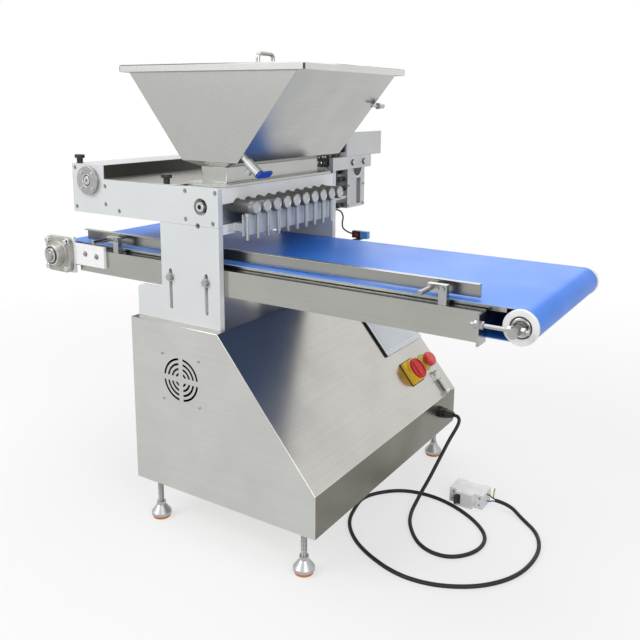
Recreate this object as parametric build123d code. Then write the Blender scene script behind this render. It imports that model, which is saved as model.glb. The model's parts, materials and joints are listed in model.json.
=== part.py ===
# Table-size piston filling machine with a belt conveyor.
# Millimetres, X along the belt, Y across it, Z up from the floor. Every piece is drawn about the middle
# plane of the belt and moved once when it is saved, so that the origin is the middle of the footprint.
from build123d import *
from math import acos, atan2, cos, hypot, pi, radians, sin, sqrt, tan
import os

# Driving sizes; most other sizes and places follow from these and from named margins
BELT_END = 615.0  # outermost point at either end of the conveyor
PORTAL_HALF = 216.0  # from the belt's middle plane to the inner face of an upright
PLATE = 14.0  # uprights and head side plates
CABINET_LIFT = 102.0
CABINET_HEIGHT = 390.0
CABINET_BACK = -294.0
CABINET_FRONT = 204.0
UPRIGHT_HEIGHT = 220.0
HEAD_LENGTH = 439.0
HEAD_HEIGHT = 81.0
BELT_RISE = 140.0  # from the cabinet's top to the top of the belt
HOPPER_RISE = 251.0  # from the top of the head to the hopper's rim
STATIONS = 10
STROKE = 36.0

# Fits between pieces
RUN_FIT = 0.05  # radial clearance of a shaft or piston in its bore
FREE_GAP = 0.3  # clearance between faces that pass each other
SHEET = 2.0

# Cabinet
PLATE_OUT = PORTAL_HALF + PLATE
CABINET_NEAR = -PLATE_OUT - 23.0
CABINET_FAR = PLATE_OUT + 222.0
FRONT_WALL = 95.0
SLOPE_RUN = 247.0
CABINET_TOP = CABINET_LIFT + CABINET_HEIGHT
SLOPE_FOOT = (CABINET_FRONT, CABINET_LIFT + FRONT_WALL)
SLOPE_HEAD = (CABINET_FRONT - SLOPE_RUN, CABINET_TOP)
SLOPE_LENGTH = hypot(SLOPE_RUN, CABINET_HEIGHT - FRONT_WALL)
SLOPE_NORMAL = ((CABINET_HEIGHT - FRONT_WALL) / SLOPE_LENGTH, 0, SLOPE_RUN / SLOPE_LENGTH)

# Levelling feet
FOOT_INSET_X = 45.0
FOOT_INSET_Y = 28.0
PAD_R = 21.0
PAD_HEIGHT = 7.0
CUP_R = PAD_R + 2.0
CUP_RIM = 7.0  # upright part of the cup
CUP_HEIGHT = 24.0
CUP_TOP_R = 10.0
CUP_NUT_HEIGHT = 8.0
POST_R = 6.0
POST_NUT = 19.0
POST_NUT_HEIGHT = 11.0
POST_END = 6.0  # above the upper nut

# Fan behind the near wall
FAN_X = CABINET_BACK + 146.0
FAN_Z = CABINET_TOP - 122.0
FAN_SIZE = 120.0
FAN_DEPTH = 25.0
FAN_HOLE_PITCH = 105.0
FAN_RING_R = 57.0
FAN_HUB_R = 22.0
FAN_ARM = 3.0
FAN_ARM_WIDTH = 8.0
FAN_PIN_R = 2.0
FAN_PIN = 5.0
FAN_ROTOR_GAP = 3.0
FAN_ROTOR_DEPTH = 17.0
FAN_BLADE_R = 55.0
FAN_BLADES = 7
FAN_BLADE_PITCH = 38.0
FAN_BLADE_CHORD = 20.0
FAN_BLADE_THICK = 1.6
VENT_RINGS = (14.0, 25.0, 36.0, 47.0)
VENT_SLOT = 5.0
VENT_SPOKE = 12.0
FAN_SCREW_R = 4.0
FAN_SCREW_HEAD = 1.6

# Uprights and head side plates
UPRIGHT_FRONT = SLOPE_HEAD[0] - 9.0
UPRIGHT_WIDTH = 165.0
UPRIGHT_FOOT_LENGTH = 240.0
UPRIGHT_FOOT_HEIGHT = 71.0
UPRIGHT_ROUND = 12.0
HEAD_BOTTOM = CABINET_TOP + UPRIGHT_HEIGHT
STEP_LENGTH = 102.0
STEP_RISE = 30.0
HEAD_TOP = HEAD_BOTTOM + HEAD_HEIGHT
HEAD_BACK = UPRIGHT_FRONT - HEAD_LENGTH
STEP_X = HEAD_BACK + STEP_LENGTH
STEP_TOP = HEAD_TOP + STEP_RISE
DOWEL_X = UPRIGHT_FRONT - 57.0
DOWEL_R = 6.0
SCREW_SINK_R = 5.0
SCREW_SINK = 5.5
SCREW_HEAD_R = 4.5
SCREW_HEAD = 4.5
SCREW_SOCKET = 4.0
SCREW_EDGE = 8.0  # from a screw's axis to the edge of the plate that it holds
SCREW_HIGH = 9.0  # below the top of the head
FLOOR_SCREW_X = HEAD_BACK + 149.0

# Conveyor height slots in the uprights
SLOT_XS = (UPRIGHT_FRONT - 139.0, UPRIGHT_FRONT - 37.0)
SLOT_WIDTH = 9.0
SLOT_LOW = CABINET_TOP + 28.0
SLOT_HIGH = CABINET_TOP + 119.0
SLOT_BOLT_R = 4.0
SLOT_BOLT_DROP = 40.0  # below the top of the belt
SLOT_WASHER_R = 10.0
SLOT_WASHER = 2.0
SLOT_HEAD = 13.0
SLOT_HEAD_HEIGHT = 5.5

# Head: valve, outlets and measuring cylinders
PITCH = 2 * (PORTAL_HALF - 49.5) / (STATIONS - 1)
VALVE_X = UPRIGHT_FRONT - 48.0
VALVE_RISE = 41.0
VALVE_Z = HEAD_BOTTOM + VALVE_RISE
BLOCK_BACK = VALVE_X - 50.0
FRONT_PLATE = 12.0
BLOCK_FRONT = UPRIGHT_FRONT - FRONT_PLATE
FLOOR_LIFT = 4.0
FLOOR_THICK = 16.0
BLOCK_BOTTOM = HEAD_BOTTOM + FLOOR_LIFT
FLOOR_TOP = BLOCK_BOTTOM + FLOOR_THICK
FRONT_PLATE_HEIGHT = 32.5
TIE_DROP = 18.0
TIE_BACK = BLOCK_FRONT - 10.0
TIE_FRONT = BLOCK_FRONT + 4.0
SPOOL_R = 14.0
SPOOL_HALF = PORTAL_HALF - 26.0
JOURNAL_R = 11.0
SHAFT_HOLE_R = 18.0
SPOOL_NEAR_END = 1.0  # journal end behind the outer plate face
PORT_R = 5.0
OUTLET_R = 14.0
OUTLET_BORE = 7.0
COLLAR_R = 15.5
COLLAR_LENGTH = 14.0
CAP_R = 15.5
CAP_LENGTH = 14.0
CAP_CHAMFER = 1.5
CAP_FACE = UPRIGHT_FRONT + 52.0
NOZZLE_X = UPRIGHT_FRONT + 25.0
NOZZLE_R = 4.0
NOZZLE_BORE = 2.5
NOZZLE_TIP = HEAD_BOTTOM - 31.5
NOZZLE_BOSS_R = 6.5
NOZZLE_BOSS = 9.0
DRIP_FRONT = NOZZLE_X - 7.0
DRIP_SHEET = 3.0
DRIP_HALF = PORTAL_HALF - 44.0
DRIP_LOW = HEAD_BOTTOM - 23.0
DRIP_TOP = VALVE_Z - OUTLET_R - 3.0
DRIP_TAB = 20.0
DRIP_TAB_LIFT = 5.0  # above the lower edge of the tie
CYLINDER_R = 16.0
CYLINDER_LENGTH = 100.0
CYLINDER_FLANGE_R = 17.5
CYLINDER_FLANGE = 8.0
PISTON_R = 10.0
PISTON_LENGTH = 22.0
PISTON_FRONT_GAP = 6.0
PISTON_ROD_R = 6.0
ROD_NUT = 16.0
ROD_NUT_HEIGHT = 6.0
CROSSBAR_FRONT = BLOCK_BACK - 142.0
CROSSBAR_THICK = 20.0
CROSSBAR_HALF = PORTAL_HALF - 26.0
CROSSBAR_HEIGHT = 30.0

# Piston drive: shaft with two pinions over two racks
DRIVE_X = HEAD_BACK + 55.0
DRIVE_Z = HEAD_TOP - 5.0
DRIVE_MODULE = 2.5
DRIVE_TEETH = 16
DRIVE_PITCH_R = DRIVE_MODULE * DRIVE_TEETH / 2
RACK_Y = PORTAL_HALF - 66.0
RACK_WIDTH = 14.0
RACK_BODY = 16.0  # below the pitch line
RACK_RUN_OUT = 16.0  # toothed length left beyond the pinion at either end of the stroke
RACK_BACK = DRIVE_X - RACK_RUN_OUT
RACK_TOOTHED = STROKE + 2 * RACK_RUN_OUT
PINION_WIDTH = 16.0
DRIVE_SHAFT_R = 15.0
DRIVE_SHAFT_ROOM = 1.0
FLANK_GAP = 0.3
MID_WALL = 12.0
MID_WALL_BACK = STEP_X - 2.0
FLANGE_R = 33.0
FLANGE_THICK = 8.0
FLANGE_SCREW_CIRCLE = 25.0
FLANGE_SCREW_R = 3.6
FLANGE_SCREW_HEAD = 2.0
GEARBOX_SIZE = 60.0
GEARBOX_LENGTH = 60.0
GEARBOX_BORE = 22.0
MOTOR_LENGTH = 90.0
MOTOR_ROUND = 6.0
ENCODER_LENGTH = 18.0
ENCODER_INSET = 3.0
PLUG_SIZE = 22.0

# Covers and their thumb knobs
COVER_SHEET = 2.0
COVER_GAP = 4.0  # from the hopper flange
COVER_HOLE_R = 4.0
KNOB_Y = PORTAL_HALF + PLATE / 2
KNOB_BACK_X = HEAD_BACK + 18.0
KNOB_FRONT_X = BLOCK_BACK - 50.0
KNOB_SCREW_R = 3.0
KNOB_SCREW_DEPTH = 14.0
KNOB_SCREW_END = 1.0  # room left under the screw
KNOB_STEM_R = 7.0
KNOB_STEM = 12.0
KNOB_WIDTH = 25.0
KNOB_DEPTH = 15.0
KNOB_BAR = 8.0

# Valve actuator on the far side
ACT_NEAR = PLATE_OUT + 78.0
ACT_FAR = ACT_NEAR + 90.0
ACT_BACK = VALVE_X - 42.0
ACT_FRONT = BLOCK_FRONT
ACT_LOW = HEAD_BOTTOM - 20.0
ACT_TOP = HEAD_TOP + 37.0
ACT_MODULE = 1.5
ACT_TEETH = 16
ACT_PITCH_R = ACT_MODULE * ACT_TEETH / 2
ACT_SHAFT_R = 9.0
ACT_RACK_R = 10.0
ACT_RACK_LENGTH = 90.0
ACT_PINION = 24.0
ACT_PINION_Y = ACT_NEAR + 44.0
ACT_RACK_TOP = ACT_TOP - 15.0
ACT_RACK_ROOM = 6.0  # wall above and below the rack's bore
ACT_DISC_Y = ACT_NEAR + 50.0
ACT_DISC_R = 22.0
ACT_DISC_Z = ACT_TOP - 33.0
ACT_DISC = 4.0
WINDOW_Y = (ACT_NEAR + 19.0, ACT_NEAR + 69.0)
WINDOW_Z = (ACT_LOW + 8.0, ACT_DISC_Z - ACT_DISC_R - 6.0)
WINDOW_DEPTH = 12.0
COLUMN_R = 20.0
COLUMN_BEHIND = 1.0  # behind the front face
BAR_THICK = 12.0
BAR_FAR = PLATE_OUT + 182.0
BAR_HEIGHT = 32.0
BAR_SCREW_YS = (ACT_NEAR + 6.0, ACT_FAR - 26.0)
BAR_SCREW_R = 5.5
STANDOFF_R = 6.0
STANDOFF_XS = (VALVE_X - 30.0, VALVE_X + 28.0)
STANDOFF_Z = HEAD_BOTTOM + 10.0
BOX_BACK = BLOCK_BACK
BOX_FRONT = UPRIGHT_FRONT
BOX_NEAR = PLATE_OUT + 54.0
BOX_FAR = PLATE_OUT + 238.0
BOX_HEIGHT = 63.0
BOX_SHEET = 1.5
SOLENOID_X = (BOX_BACK + 24.0, BOX_BACK + 74.0)
SOLENOID_Y = (BOX_NEAR + 40.0, BOX_NEAR + 120.0)
SOLENOID_HEIGHT = 34.0
AIR_R = 3.0
AIR_FITTING = 12.0
AIR_FITTING_LENGTH = 12.0
AIR_BOW = 26.0  # how far a line bows out from its fittings
AIR_TURN = 16.0  # where the bow starts
AIR_SAG = 3.0
AIR_PORTS = ((VALVE_X - 22.0, ACT_LOW + 52.0), (VALVE_X + 12.0, ACT_LOW + 96.0))

# Hopper
HOPPER_X = VALVE_X
MOUTH_HALF = 236.0
NECK_HALF = 75.0
HOPPER_HALF_Y = PORTAL_HALF - 16.0
RIM_TOP = HEAD_TOP + HOPPER_RISE
NECK_Z = HEAD_TOP + 52.0
THROAT_X = VALVE_X - 8.0
THROAT_HALF = 34.0
THROAT_HALF_Y = PORTAL_HALF - 40.0
THROAT_TOP = HEAD_TOP + 40.0
BASE_HALF = 56.0
BASE_HALF_Y = PORTAL_HALF - 11.0
BASE_THICK = 7.0
LIP_OUT = 10.0
LIP_OUT_Y = 9.0
LIP_HEIGHT = 14.0
LIP_NOTCH = 3.5  # open corner of the turned-down edge
WALL_SLANT = (MOUTH_HALF - NECK_HALF) / (RIM_TOP - NECK_Z)
WALL_ACROSS = SHEET * hypot(1, WALL_SLANT)
LID_SHEET = 1.5
LID_INSET = 2.0
LID_LOCATE = 10.0
LID_PLAY = 3.0
HANDLE_R = 5.0
HANDLE_RISE = 36.0  # from the rim to the top of the handle
HANDLE_LENGTH = 56.0
HANDLE_BEND = 10.0

# Drain valve on the slanted hopper wall, probe on the far wall
DRAIN_Y = -HOPPER_HALF_Y + 10.0
DRAIN_Z = HEAD_TOP + 64.0
DRAIN_PIPE_R = 7.0
DRAIN_PIPE = 14.0
DRAIN_BORE = 4.5
DRAIN_BODY_R = 10.0
DRAIN_BODY_END = DRAIN_PIPE + 36.0
DRAIN_SPOUT_R = 6.5
DRAIN_SPOUT = 18.0  # from the pipe's axis
DRAIN_SPOUT_AT = DRAIN_PIPE + 14.0
DRAIN_STEM_R = 4.0
DRAIN_STEM_DEPTH = 8.0
DRAIN_LEVER = 46.0
DRAIN_LEVER_WIDTH = 16.0
DRAIN_LEVER_THICK = 4.0
DRAIN_LEVER_GAP = 1.0
DRAIN_TURN = (cos(atan2(WALL_SLANT, 1)), -sin(atan2(WALL_SLANT, 1)))  # outward from the wall, in X and Z
PROBE_X = HOPPER_X + 180.0
PROBE_Z = HEAD_TOP + 168.0
PROBE_R = 7.0
PROBE_NUT = 8.0
PROBE_HEAD_R = 6.0
PROBE_HEAD = 26.0
PROBE_STEM_R = 3.0
PROBE_INSIDE = 30.0

# Controls on the slope: Y position and distance up from the foot of the slope
SCREEN_Y = CABINET_FAR - 106.0
SCREEN_UP = 241.0
SCREEN_WIDTH = 202.0
SCREEN_HEIGHT = 150.0
SCREEN_PROUD = 6.0
SCREEN_ROUND = 6.0
GLASS_WIDTH = 178.0
GLASS_HEIGHT = 118.0
GLASS_THICK = 2.0
SCREEN_BACK_WIDTH = 186.0
SCREEN_BACK_HEIGHT = 132.0
SCREEN_BACK_DEPTH = 38.0
SWITCH_Y = CABINET_FAR - 143.0
SWITCH_UP = 100.0
SWITCH_SIZE = 62.0
SWITCH_BASE = 10.0
SWITCH_ROUND = 5.0
SWITCH_COLLAR_R = 30.0
SWITCH_COLLAR = 21.0  # above the panel
SWITCH_KNOB_R = 28.0
SWITCH_KNOB = 6.0
SWITCH_POCKET_R = 24.0
SWITCH_POCKET = 2.5
SWITCH_GRIP_WIDTH = 20.0
SWITCH_STEM_R = 5.0
STOP_Y = CABINET_FAR - 62.0
STOP_UP = 104.0
STOP_PLATE_R = 24.0
STOP_PLATE = 3.0
STOP_COLLAR_R = 14.5
STOP_COLLAR = 9.0
STOP_STEM_R = 8.0
STOP_HEAD_R = 20.0
STOP_HEAD = 15.0
STOP_HEAD_ROUND = 6.8
STOP_PUSH = 5.0
STOP_SPARE = 1.0  # left between head and collar when it is pushed in
STEM_ROOM = 1.0  # around a stem in the panel
CONTACT_BLOCK = 42.0
CONTACT_DEPTH = 45.0
LATCH_Y = CABINET_FAR - 50.0
LATCH_WIDTH = 30.0
LATCH_LENGTH = 46.0
LATCH_PLATE = 2.0
LATCH_EAR = 3.0
LATCH_BARREL_R = 4.0
LATCH_PIN_R = 2.0
LATCH_PIN_UP = 6.0
LATCH_PIN_RISE = 7.0
LATCH_TONGUE = 3.0
LATCH_TONGUE_INSET = 4.0
LATCH_HOOK = 9.0
LATCH_BAIL = 72.0  # how far the wire loop reaches up the slope
LATCH_WIRE_R = 1.2
LATCH_KEEPER_FOOT = (12.0, 12.0)
LATCH_KEEPER_GAP = 1.2
LATCH_KEEPER_HOOK = (6.0, 4.0)
LATCH_KEEPER_RISE = 12.0

# Control gear on a plate at the back wall of the cabinet: near and far end, height above the row, depth
GEAR_PLATE = 3.0
GEAR_PLATE_Y = (CABINET_NEAR + 110.0, CABINET_FAR - 60.0)
GEAR_PLATE_Z = (CABINET_LIFT + 30.0, CABINET_TOP - 40.0)
GEAR_ROW = CABINET_LIFT + 90.0
POWER_SUPPLY = ((CABINET_NEAR + 140.0, CABINET_NEAR + 255.0), (0.0, 200.0), 50.0)
SERVO_DRIVE = ((CABINET_NEAR + 290.0, CABINET_NEAR + 345.0), (0.0, 170.0), 130.0)
RELAYS = ((CABINET_NEAR + 380.0, CABINET_FAR - 105.0), (20.0, 110.0), 65.0)

# Mains entry, cord and breaker
GLAND_Y = CABINET_FAR - 96.0
GLAND_Z = CABINET_LIFT + 59.0
GLAND_NUT = 29.0
GLAND_NUT_LENGTH = 8.0
GLAND_BODY_R = 13.5
GLAND_BODY = 12.0
BOOT_R = 13.0
BOOT_TIP_R = 8.5
BOOT_LENGTH = 19.0
GLAND_THREAD_R = 8.0
GLAND_INSIDE = 12.0
CORD_R = 4.5
BOOT_END = CABINET_FRONT + GLAND_NUT_LENGTH + GLAND_BODY + BOOT_LENGTH
CORD_FLOOR = CORD_R + 0.1
CORD_END_Y = 248.0
CORD_END_Z = 16.0
BREAKER_X = (299.0, 385.0)
BREAKER_SHOULDER_Y = 214.0
BREAKER_BACK_Y = 270.0
BREAKER_NOSE_Y = 202.0
BREAKER_NOSE_X = (319.0, 362.0)
BREAKER_HEIGHT = 36.0
BREAKER_RAIL = 35.0
BREAKER_RAIL_DEPTH = 5.0
TOGGLE_X = 327.0
TOGGLE_R = 6.5
TOGGLE_DEPTH = 4.5  # pivot behind the face of the nose
TOGGLE_LEVER = 15.0
TOGGLE_THICK = 4.0
TOGGLE_SLOT = 24.0
TOGGLE_TILT = 30.0
TERMINAL_R = 3.2
TERMINAL_DEPTH = 8.0
TERMINAL_INSET = 9.0
CORE_R = 1.6
CORE_Y = 246.0  # where the cores enter the breaker
CORE_ENTRY_R = 2.4
CORE_ENTRY_DEPTH = 6.0
CORE_END_GAP = 1.0
CORE_STRAIGHT = 6.0
CORE_SPREAD = CORD_R - CORE_R - 0.4  # from the cord's axis to a core's axis
CORD_POINTS = [
    (BOOT_END, GLAND_Y, GLAND_Z),
    (BOOT_END + 7, GLAND_Y, GLAND_Z),
    (258, 353.5, 159.5),
    (264, 346, 155),
    (266, 334, 147.5),
    (264, 316, 136),
    (260, 293, 120),
    (256, 266, 98),
    (251, 236, 72),
    (246.5, 204, 46),
    (242, 172, 25),
    (242, 140, 10),
    (247, 105, CORD_FLOOR),
    (266, 55, CORD_FLOOR),
    (312, -3, CORD_FLOOR),
    (358, -24, CORD_FLOOR),
    (404, -16, CORD_FLOOR),
    (439, 29, CORD_FLOOR),
    (444, 82, CORD_FLOOR),
    (421, 125, CORD_FLOOR),
    (367, 167, CORD_FLOOR),
    (295, 197, CORD_FLOOR),
    (230, 201, CORD_FLOOR),
    (175, 183, CORD_FLOOR),
    (133, 138, CORD_FLOOR),
    (116, 97, CORD_FLOOR),
    (122, 56, CORD_FLOOR),
    (140, -12, CORD_FLOOR),
    (186, -67, CORD_FLOOR),
    (246, -105, CORD_FLOOR),
    (323, -132, CORD_FLOOR),
    (387, -130, CORD_FLOOR),
    (444, -109, CORD_FLOOR),
    (496, -72, CORD_FLOOR),
    (536, -18, CORD_FLOOR),
    (555, 43, CORD_FLOOR),
    (556, 118, CORD_FLOOR),
    (530, 181, CORD_FLOOR),
    (480, 222, CORD_FLOOR),
    (440, CORD_END_Y, CORD_END_Z),
    (405, CORD_END_Y, CORD_END_Z),
]

# Conveyor
BELT_TOP = CABINET_TOP + BELT_RISE
BELT_THICK = 2.0
BELT_HALF = PORTAL_HALF - 16.0
BELT_BEND = 28.0
AXLE_Z = BELT_TOP - BELT_THICK - BELT_BEND
ROLLER_R = BELT_BEND - FREE_GAP
ROLLER_HALF = PORTAL_HALF - 6.0
IDLER_FLANGE_R = 31.5
IDLER_X = BELT_END - IDLER_FLANGE_R
IDLER_FLANGE = 8.0
IDLER_BEARING_R = 20.0
IDLER_DISH = 3.0
IDLER_SHAFT_R = 8.5
IDLER_SHAFT_OUT = 42.0
BELT_DRIVE_X = -BELT_END + 59.0
BELT_SHAFT_R = 10.0
BELT_SHAFT_ROOM = 2.0
BELT_SHAFT_OUT = 8.5  # near end beyond the bearing
RAIL_OUT = PORTAL_HALF - 0.5
RAIL_WEB = 2.5
RAIL_FLANGE = 22.0
RAIL_HEIGHT = 56.0
RAIL_DROP = 11.0
RAIL_TOP = BELT_TOP - RAIL_DROP
RAIL_LOW = RAIL_TOP - RAIL_HEIGHT
RAIL_BACK = -BELT_END + 115.0
RAIL_FRONT = BELT_END - 98.0
BED_THICK = 3.0
BED_HALF = BELT_HALF - 12.0
BED_END_GAP = 4.0
CROSS_BARS = 4
CROSS_FIRST = RAIL_BACK + 70.0
CROSS_LAST = RAIL_FRONT - 77.0
CROSS_WIDTH = 24.0
CROSS_HEIGHT = 28.0
BRACKET = 8.0
BRACKET_MARGIN = 1.0  # around the bearing
BRACKET_FRONT = BELT_DRIVE_X + 148.0
BRACKET_ARM_LOW = BELT_TOP - 51.0
BEARING_SIZE = 86.0
BEARING_PITCH = 64.0
BEARING_FLANGE = 12.0
BEARING_R = 30.0
BEARING_TIP_R = 25.0
BEARING_DOME = 18.0
BEARING_BOLT = 13.0
BEARING_BOLT_HEAD = 7.0
BEARING_ROUND = 16.0
BEARING_END = RAIL_OUT + BRACKET + BEARING_FLANGE + BEARING_DOME
DOME_BOLTS = ((BELT_DRIVE_X + 85.0, BELT_TOP - 22.0), (BELT_DRIVE_X + 123.0, BELT_TOP - 25.0))
DOME_BOLT_R = 7.0
DOME_BOLT = 4.0
WORM_BACK = -BELT_END
WORM_FRONT = BELT_DRIVE_X + 35.0
WORM_HEIGHT = 72.0
WORM_ROUND = 10.0
WORM_NEAR = BEARING_END + 2.5
WORM_WIDTH = 60.0
WORM_WALL = 2.0
WORM_MOTOR_R = 32.0
WORM_MOTOR = 110.0
WORM_TERMINAL = 40.0
WORM_TERMINAL_X = WORM_FRONT + 20.0
WORM_TERMINAL_DROP = 38.0
TENSION_PLATE = 4.0
TENSION_ROD_R = 4.0
TENSION_NUT = 13.0
TENSION_NUT_HEIGHT = 6.5
TENSION_Y = RAIL_OUT + 14.5
TENSION_EAR = 7.5  # plate left beyond the rod
GUIDE_Y = BELT_HALF - 26.0
GUIDE_LIFT = 2.5
GUIDE_HEIGHT = 26.0
GUIDE_FLANGE = 12.0
GUIDE_BACK = -BELT_END + 100.0
GUIDE_FRONT = BELT_END - 116.0
GUIDE_XS = (-BELT_END + 215.0, BELT_END - 195.0)
GUIDE_ROD_R = 4.5
GUIDE_ROD_OUT = PORTAL_HALF + 45.0
GUIDE_ROD_Z = BELT_TOP + 18.0
POST_GAP = 1.0
POST_WIDTH = 16.0
POST_OFFSET = 22.0  # from the rod to the post beside it
POST_HEAD = 15.0  # stays under the guide's flange as that slides out
POST_SCREW_R = 4.0
POST_SCREW = 3.0
SENSOR_X = (UPRIGHT_FRONT + 24.0, UPRIGHT_FRONT + 69.0)
SENSOR_Y = (PLATE_OUT + 43.0, PLATE_OUT + 57.0)
SENSOR_Z = (BELT_TOP - 10.0, BELT_TOP + 8.0)
SENSOR_ARM = 3.0
SENSOR_ARM_WIDTH = 16.0
SENSOR_DROP = 22.0
LEAD_R = 2.0
PLUG_R = 4.5
PLUG_LENGTH = 18.0
PLUG_LIFT = 8.0  # from the upright's outer face to the plug's axis

# Reach to either side of the belt's middle plane, and the move that centres the footprint
NEAR_REACH = BEARING_END + BELT_SHAFT_OUT
MIDDLE_SHIFT = (NEAR_REACH - BOX_FAR) / 2

TURN = {"x": Rot(0, 90, 0), "y": Rot(-90, 0, 0), "z": Rot(0, 0, 0)}


# Small building blocks

def block(x, y, z):
    """Box between the (low, high) pairs x, y and z."""
    pairs = (x, y, z)
    centre = [(low + high) / 2 for low, high in pairs]
    return Pos(*centre) * Box(*[high - low for low, high in pairs])


def place(axis, start, across):
    """Start of a piece along the named axis; across holds the other two coordinates in XYZ order."""
    first, second = across
    points = {"x": (start, first, second), "y": (first, start, second), "z": (first, second, start)}
    return Pos(*points[axis]) * TURN[axis]


def bar(axis, radius, span, across):
    """Round bar along an axis over the (low, high) span."""
    return place(axis, span[0], across) * extrude(Circle(radius), span[1] - span[0])


def tube(axis, outer, inner, span, across):
    """Round bar with a bore right through it."""
    return bar(axis, outer, span, across) - bar(axis, inner, span, across)


def taper(axis, first, last, span, across):
    """Round bar whose radius changes evenly from the start to the end of its span."""
    cone = Cone(first, last, span[1] - span[0], align=(Align.CENTER, Align.CENTER, Align.MIN))
    return place(axis, span[0], across) * cone


def hexagon(axis, flats, span, across):
    """Hexagonal bar, as wide across its flats as given."""
    return place(axis, span[0], across) * extrude(RegularPolygon(flats / sqrt(3), 6), span[1] - span[0])


def plate_xz(points, y):
    """Flat plate with its outline in X and Z, over the (low, high) pair y."""
    outline = Plane.XZ * Polygon(*points, align=None)
    return Pos(0, y[1], 0) * extrude(outline, y[1] - y[0])


def group(*shapes):
    """Separate solids that are handled as one piece."""
    return Compound([solid for shape in shapes for solid in shape.solids()])


def far_twin(shape):
    """The same piece on the other side of the belt."""
    return mirror(shape, about=Plane.XZ)


def both_sides(shape):
    """A near-side piece together with its far-side twin."""
    return group(shape, far_twin(shape))


def slope_plane(y, up):
    """Plane on the sloped panel: first axis along Y, second up the slope, third outward."""
    x = SLOPE_FOOT[0] - up * SLOPE_NORMAL[2]
    z = SLOPE_FOOT[1] + up * SLOPE_NORMAL[0]
    return Plane(origin=(x, y, z), x_dir=(0, 1, 0), z_dir=SLOPE_NORMAL)


def prism(sketch, low, high):
    """Straight solid over the (low, high) heights of a flat sketch."""
    return Pos(0, 0, low) * extrude(sketch, high - low)


def frustum(x_middle, low, high):
    """Solid between two level rectangles, each given as (half X, half Y, Z)."""
    levels = [Pos(x_middle, 0, z) * Rectangle(2 * half_x, 2 * half_y) for half_x, half_y, z in (low, high)]
    return loft(levels, ruled=True)


def station_ys():
    """Y of every outlet."""
    return [(index - (STATIONS - 1) / 2) * PITCH for index in range(STATIONS)]


def wire(points, radius):
    """Round cord through points, with an arc at each inner one; returns the solid, its path and the radii."""
    corners = [Vector(*point) for point in points]
    radii = []
    for before, corner, after in zip(corners, corners[1:], corners[2:]):
        turn = radians((corner - before).get_angle(after - corner))
        shorter = min((corner - before).length, (after - corner).length)
        radii.append(0.45 * shorter / tan(turn / 2))
    path = FilletPolyline(*corners, radius=radii)
    section = Plane(origin=path @ 0, z_dir=path % 0) * Circle(radius)
    return sweep(section, path=path), path, radii


# Gear teeth

def half_tooth_angle(radius, pitch_r, teeth):
    """Half angle that an involute tooth with thinned flanks takes at a radius."""
    pressure = radians(20)

    def involute(angle):
        return tan(angle) - angle

    base_r = pitch_r * cos(pressure)
    local = acos(min(1.0, base_r / max(radius, base_r)))
    return (pi / 2 - FLANK_GAP / 2 * teeth / pitch_r / 2) / teeth + involute(pressure) - involute(local)


def pinion(module, teeth, width):
    """Spur pinion about Z, centred on the origin, with a tooth gap facing -Y of its sketch."""
    pitch_r = module * teeth / 2
    radii = [pitch_r + step * module for step in (-1.25, -0.5, 0.0, 0.5, 0.9)]
    points = []
    for tooth in range(teeth):
        middle = -pi / 2 + (tooth + 0.5) * 2 * pi / teeth
        rising = [(radius, middle - half_tooth_angle(radius, pitch_r, teeth)) for radius in radii]
        falling = [(radius, middle + half_tooth_angle(radius, pitch_r, teeth)) for radius in reversed(radii)]
        points += [(radius * cos(angle), radius * sin(angle)) for radius, angle in rising + falling]
    return Pos(0, 0, -width / 2) * extrude(Polygon(*points, align=None), width)


def rack_outline(module, span, body):
    """Rack outline: teeth on top, one centred on zero, with the pitch line on zero and a flat back below."""
    pitch = pi * module
    flank = tan(radians(20))
    foot, tip = -1.2 * module, 0.8 * module
    first = int(span[0] / pitch)
    last = int(span[1] / pitch)
    points = [(span[0], -body), (span[0], foot)]
    for tooth in range(first, last + 1):
        middle = tooth * pitch
        foot_half = pitch / 4 - FLANK_GAP / 2 - foot * flank
        tip_half = pitch / 4 - FLANK_GAP / 2 - tip * flank
        if middle - foot_half > span[0] and middle + foot_half < span[1]:
            points += [(middle - foot_half, foot), (middle - tip_half, tip)]
            points += [(middle + tip_half, tip), (middle + foot_half, foot)]
    points += [(span[1], foot), (span[1], -body)]
    return Polygon(*reversed(points), align=None)


# Cabinet and feet

def vent_slots():
    """Rings of arc slots, each ring cut by four bridges."""
    wall = (CABINET_NEAR - SHEET, CABINET_NEAR + 2 * SHEET)
    rings = [tube("y", r + VENT_SLOT / 2, r - VENT_SLOT / 2, wall, (FAN_X, FAN_Z)) for r in VENT_RINGS]
    reach = VENT_RINGS[-1] + VENT_SLOT
    upright = block((FAN_X - VENT_SPOKE / 2, FAN_X + VENT_SPOKE / 2), wall, (FAN_Z - reach, FAN_Z + reach))
    level = block((FAN_X - reach, FAN_X + reach), wall, (FAN_Z - VENT_SPOKE / 2, FAN_Z + VENT_SPOKE / 2))
    return group(*rings) - upright - level


def foot_centres():
    """X and Y of the four levelling feet."""
    xs = (CABINET_BACK + FOOT_INSET_X, CABINET_FRONT - FOOT_INSET_X)
    ys = (CABINET_NEAR + FOOT_INSET_Y, CABINET_FAR - FOOT_INSET_Y)
    return [(x, y) for x in xs for y in ys]


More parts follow.
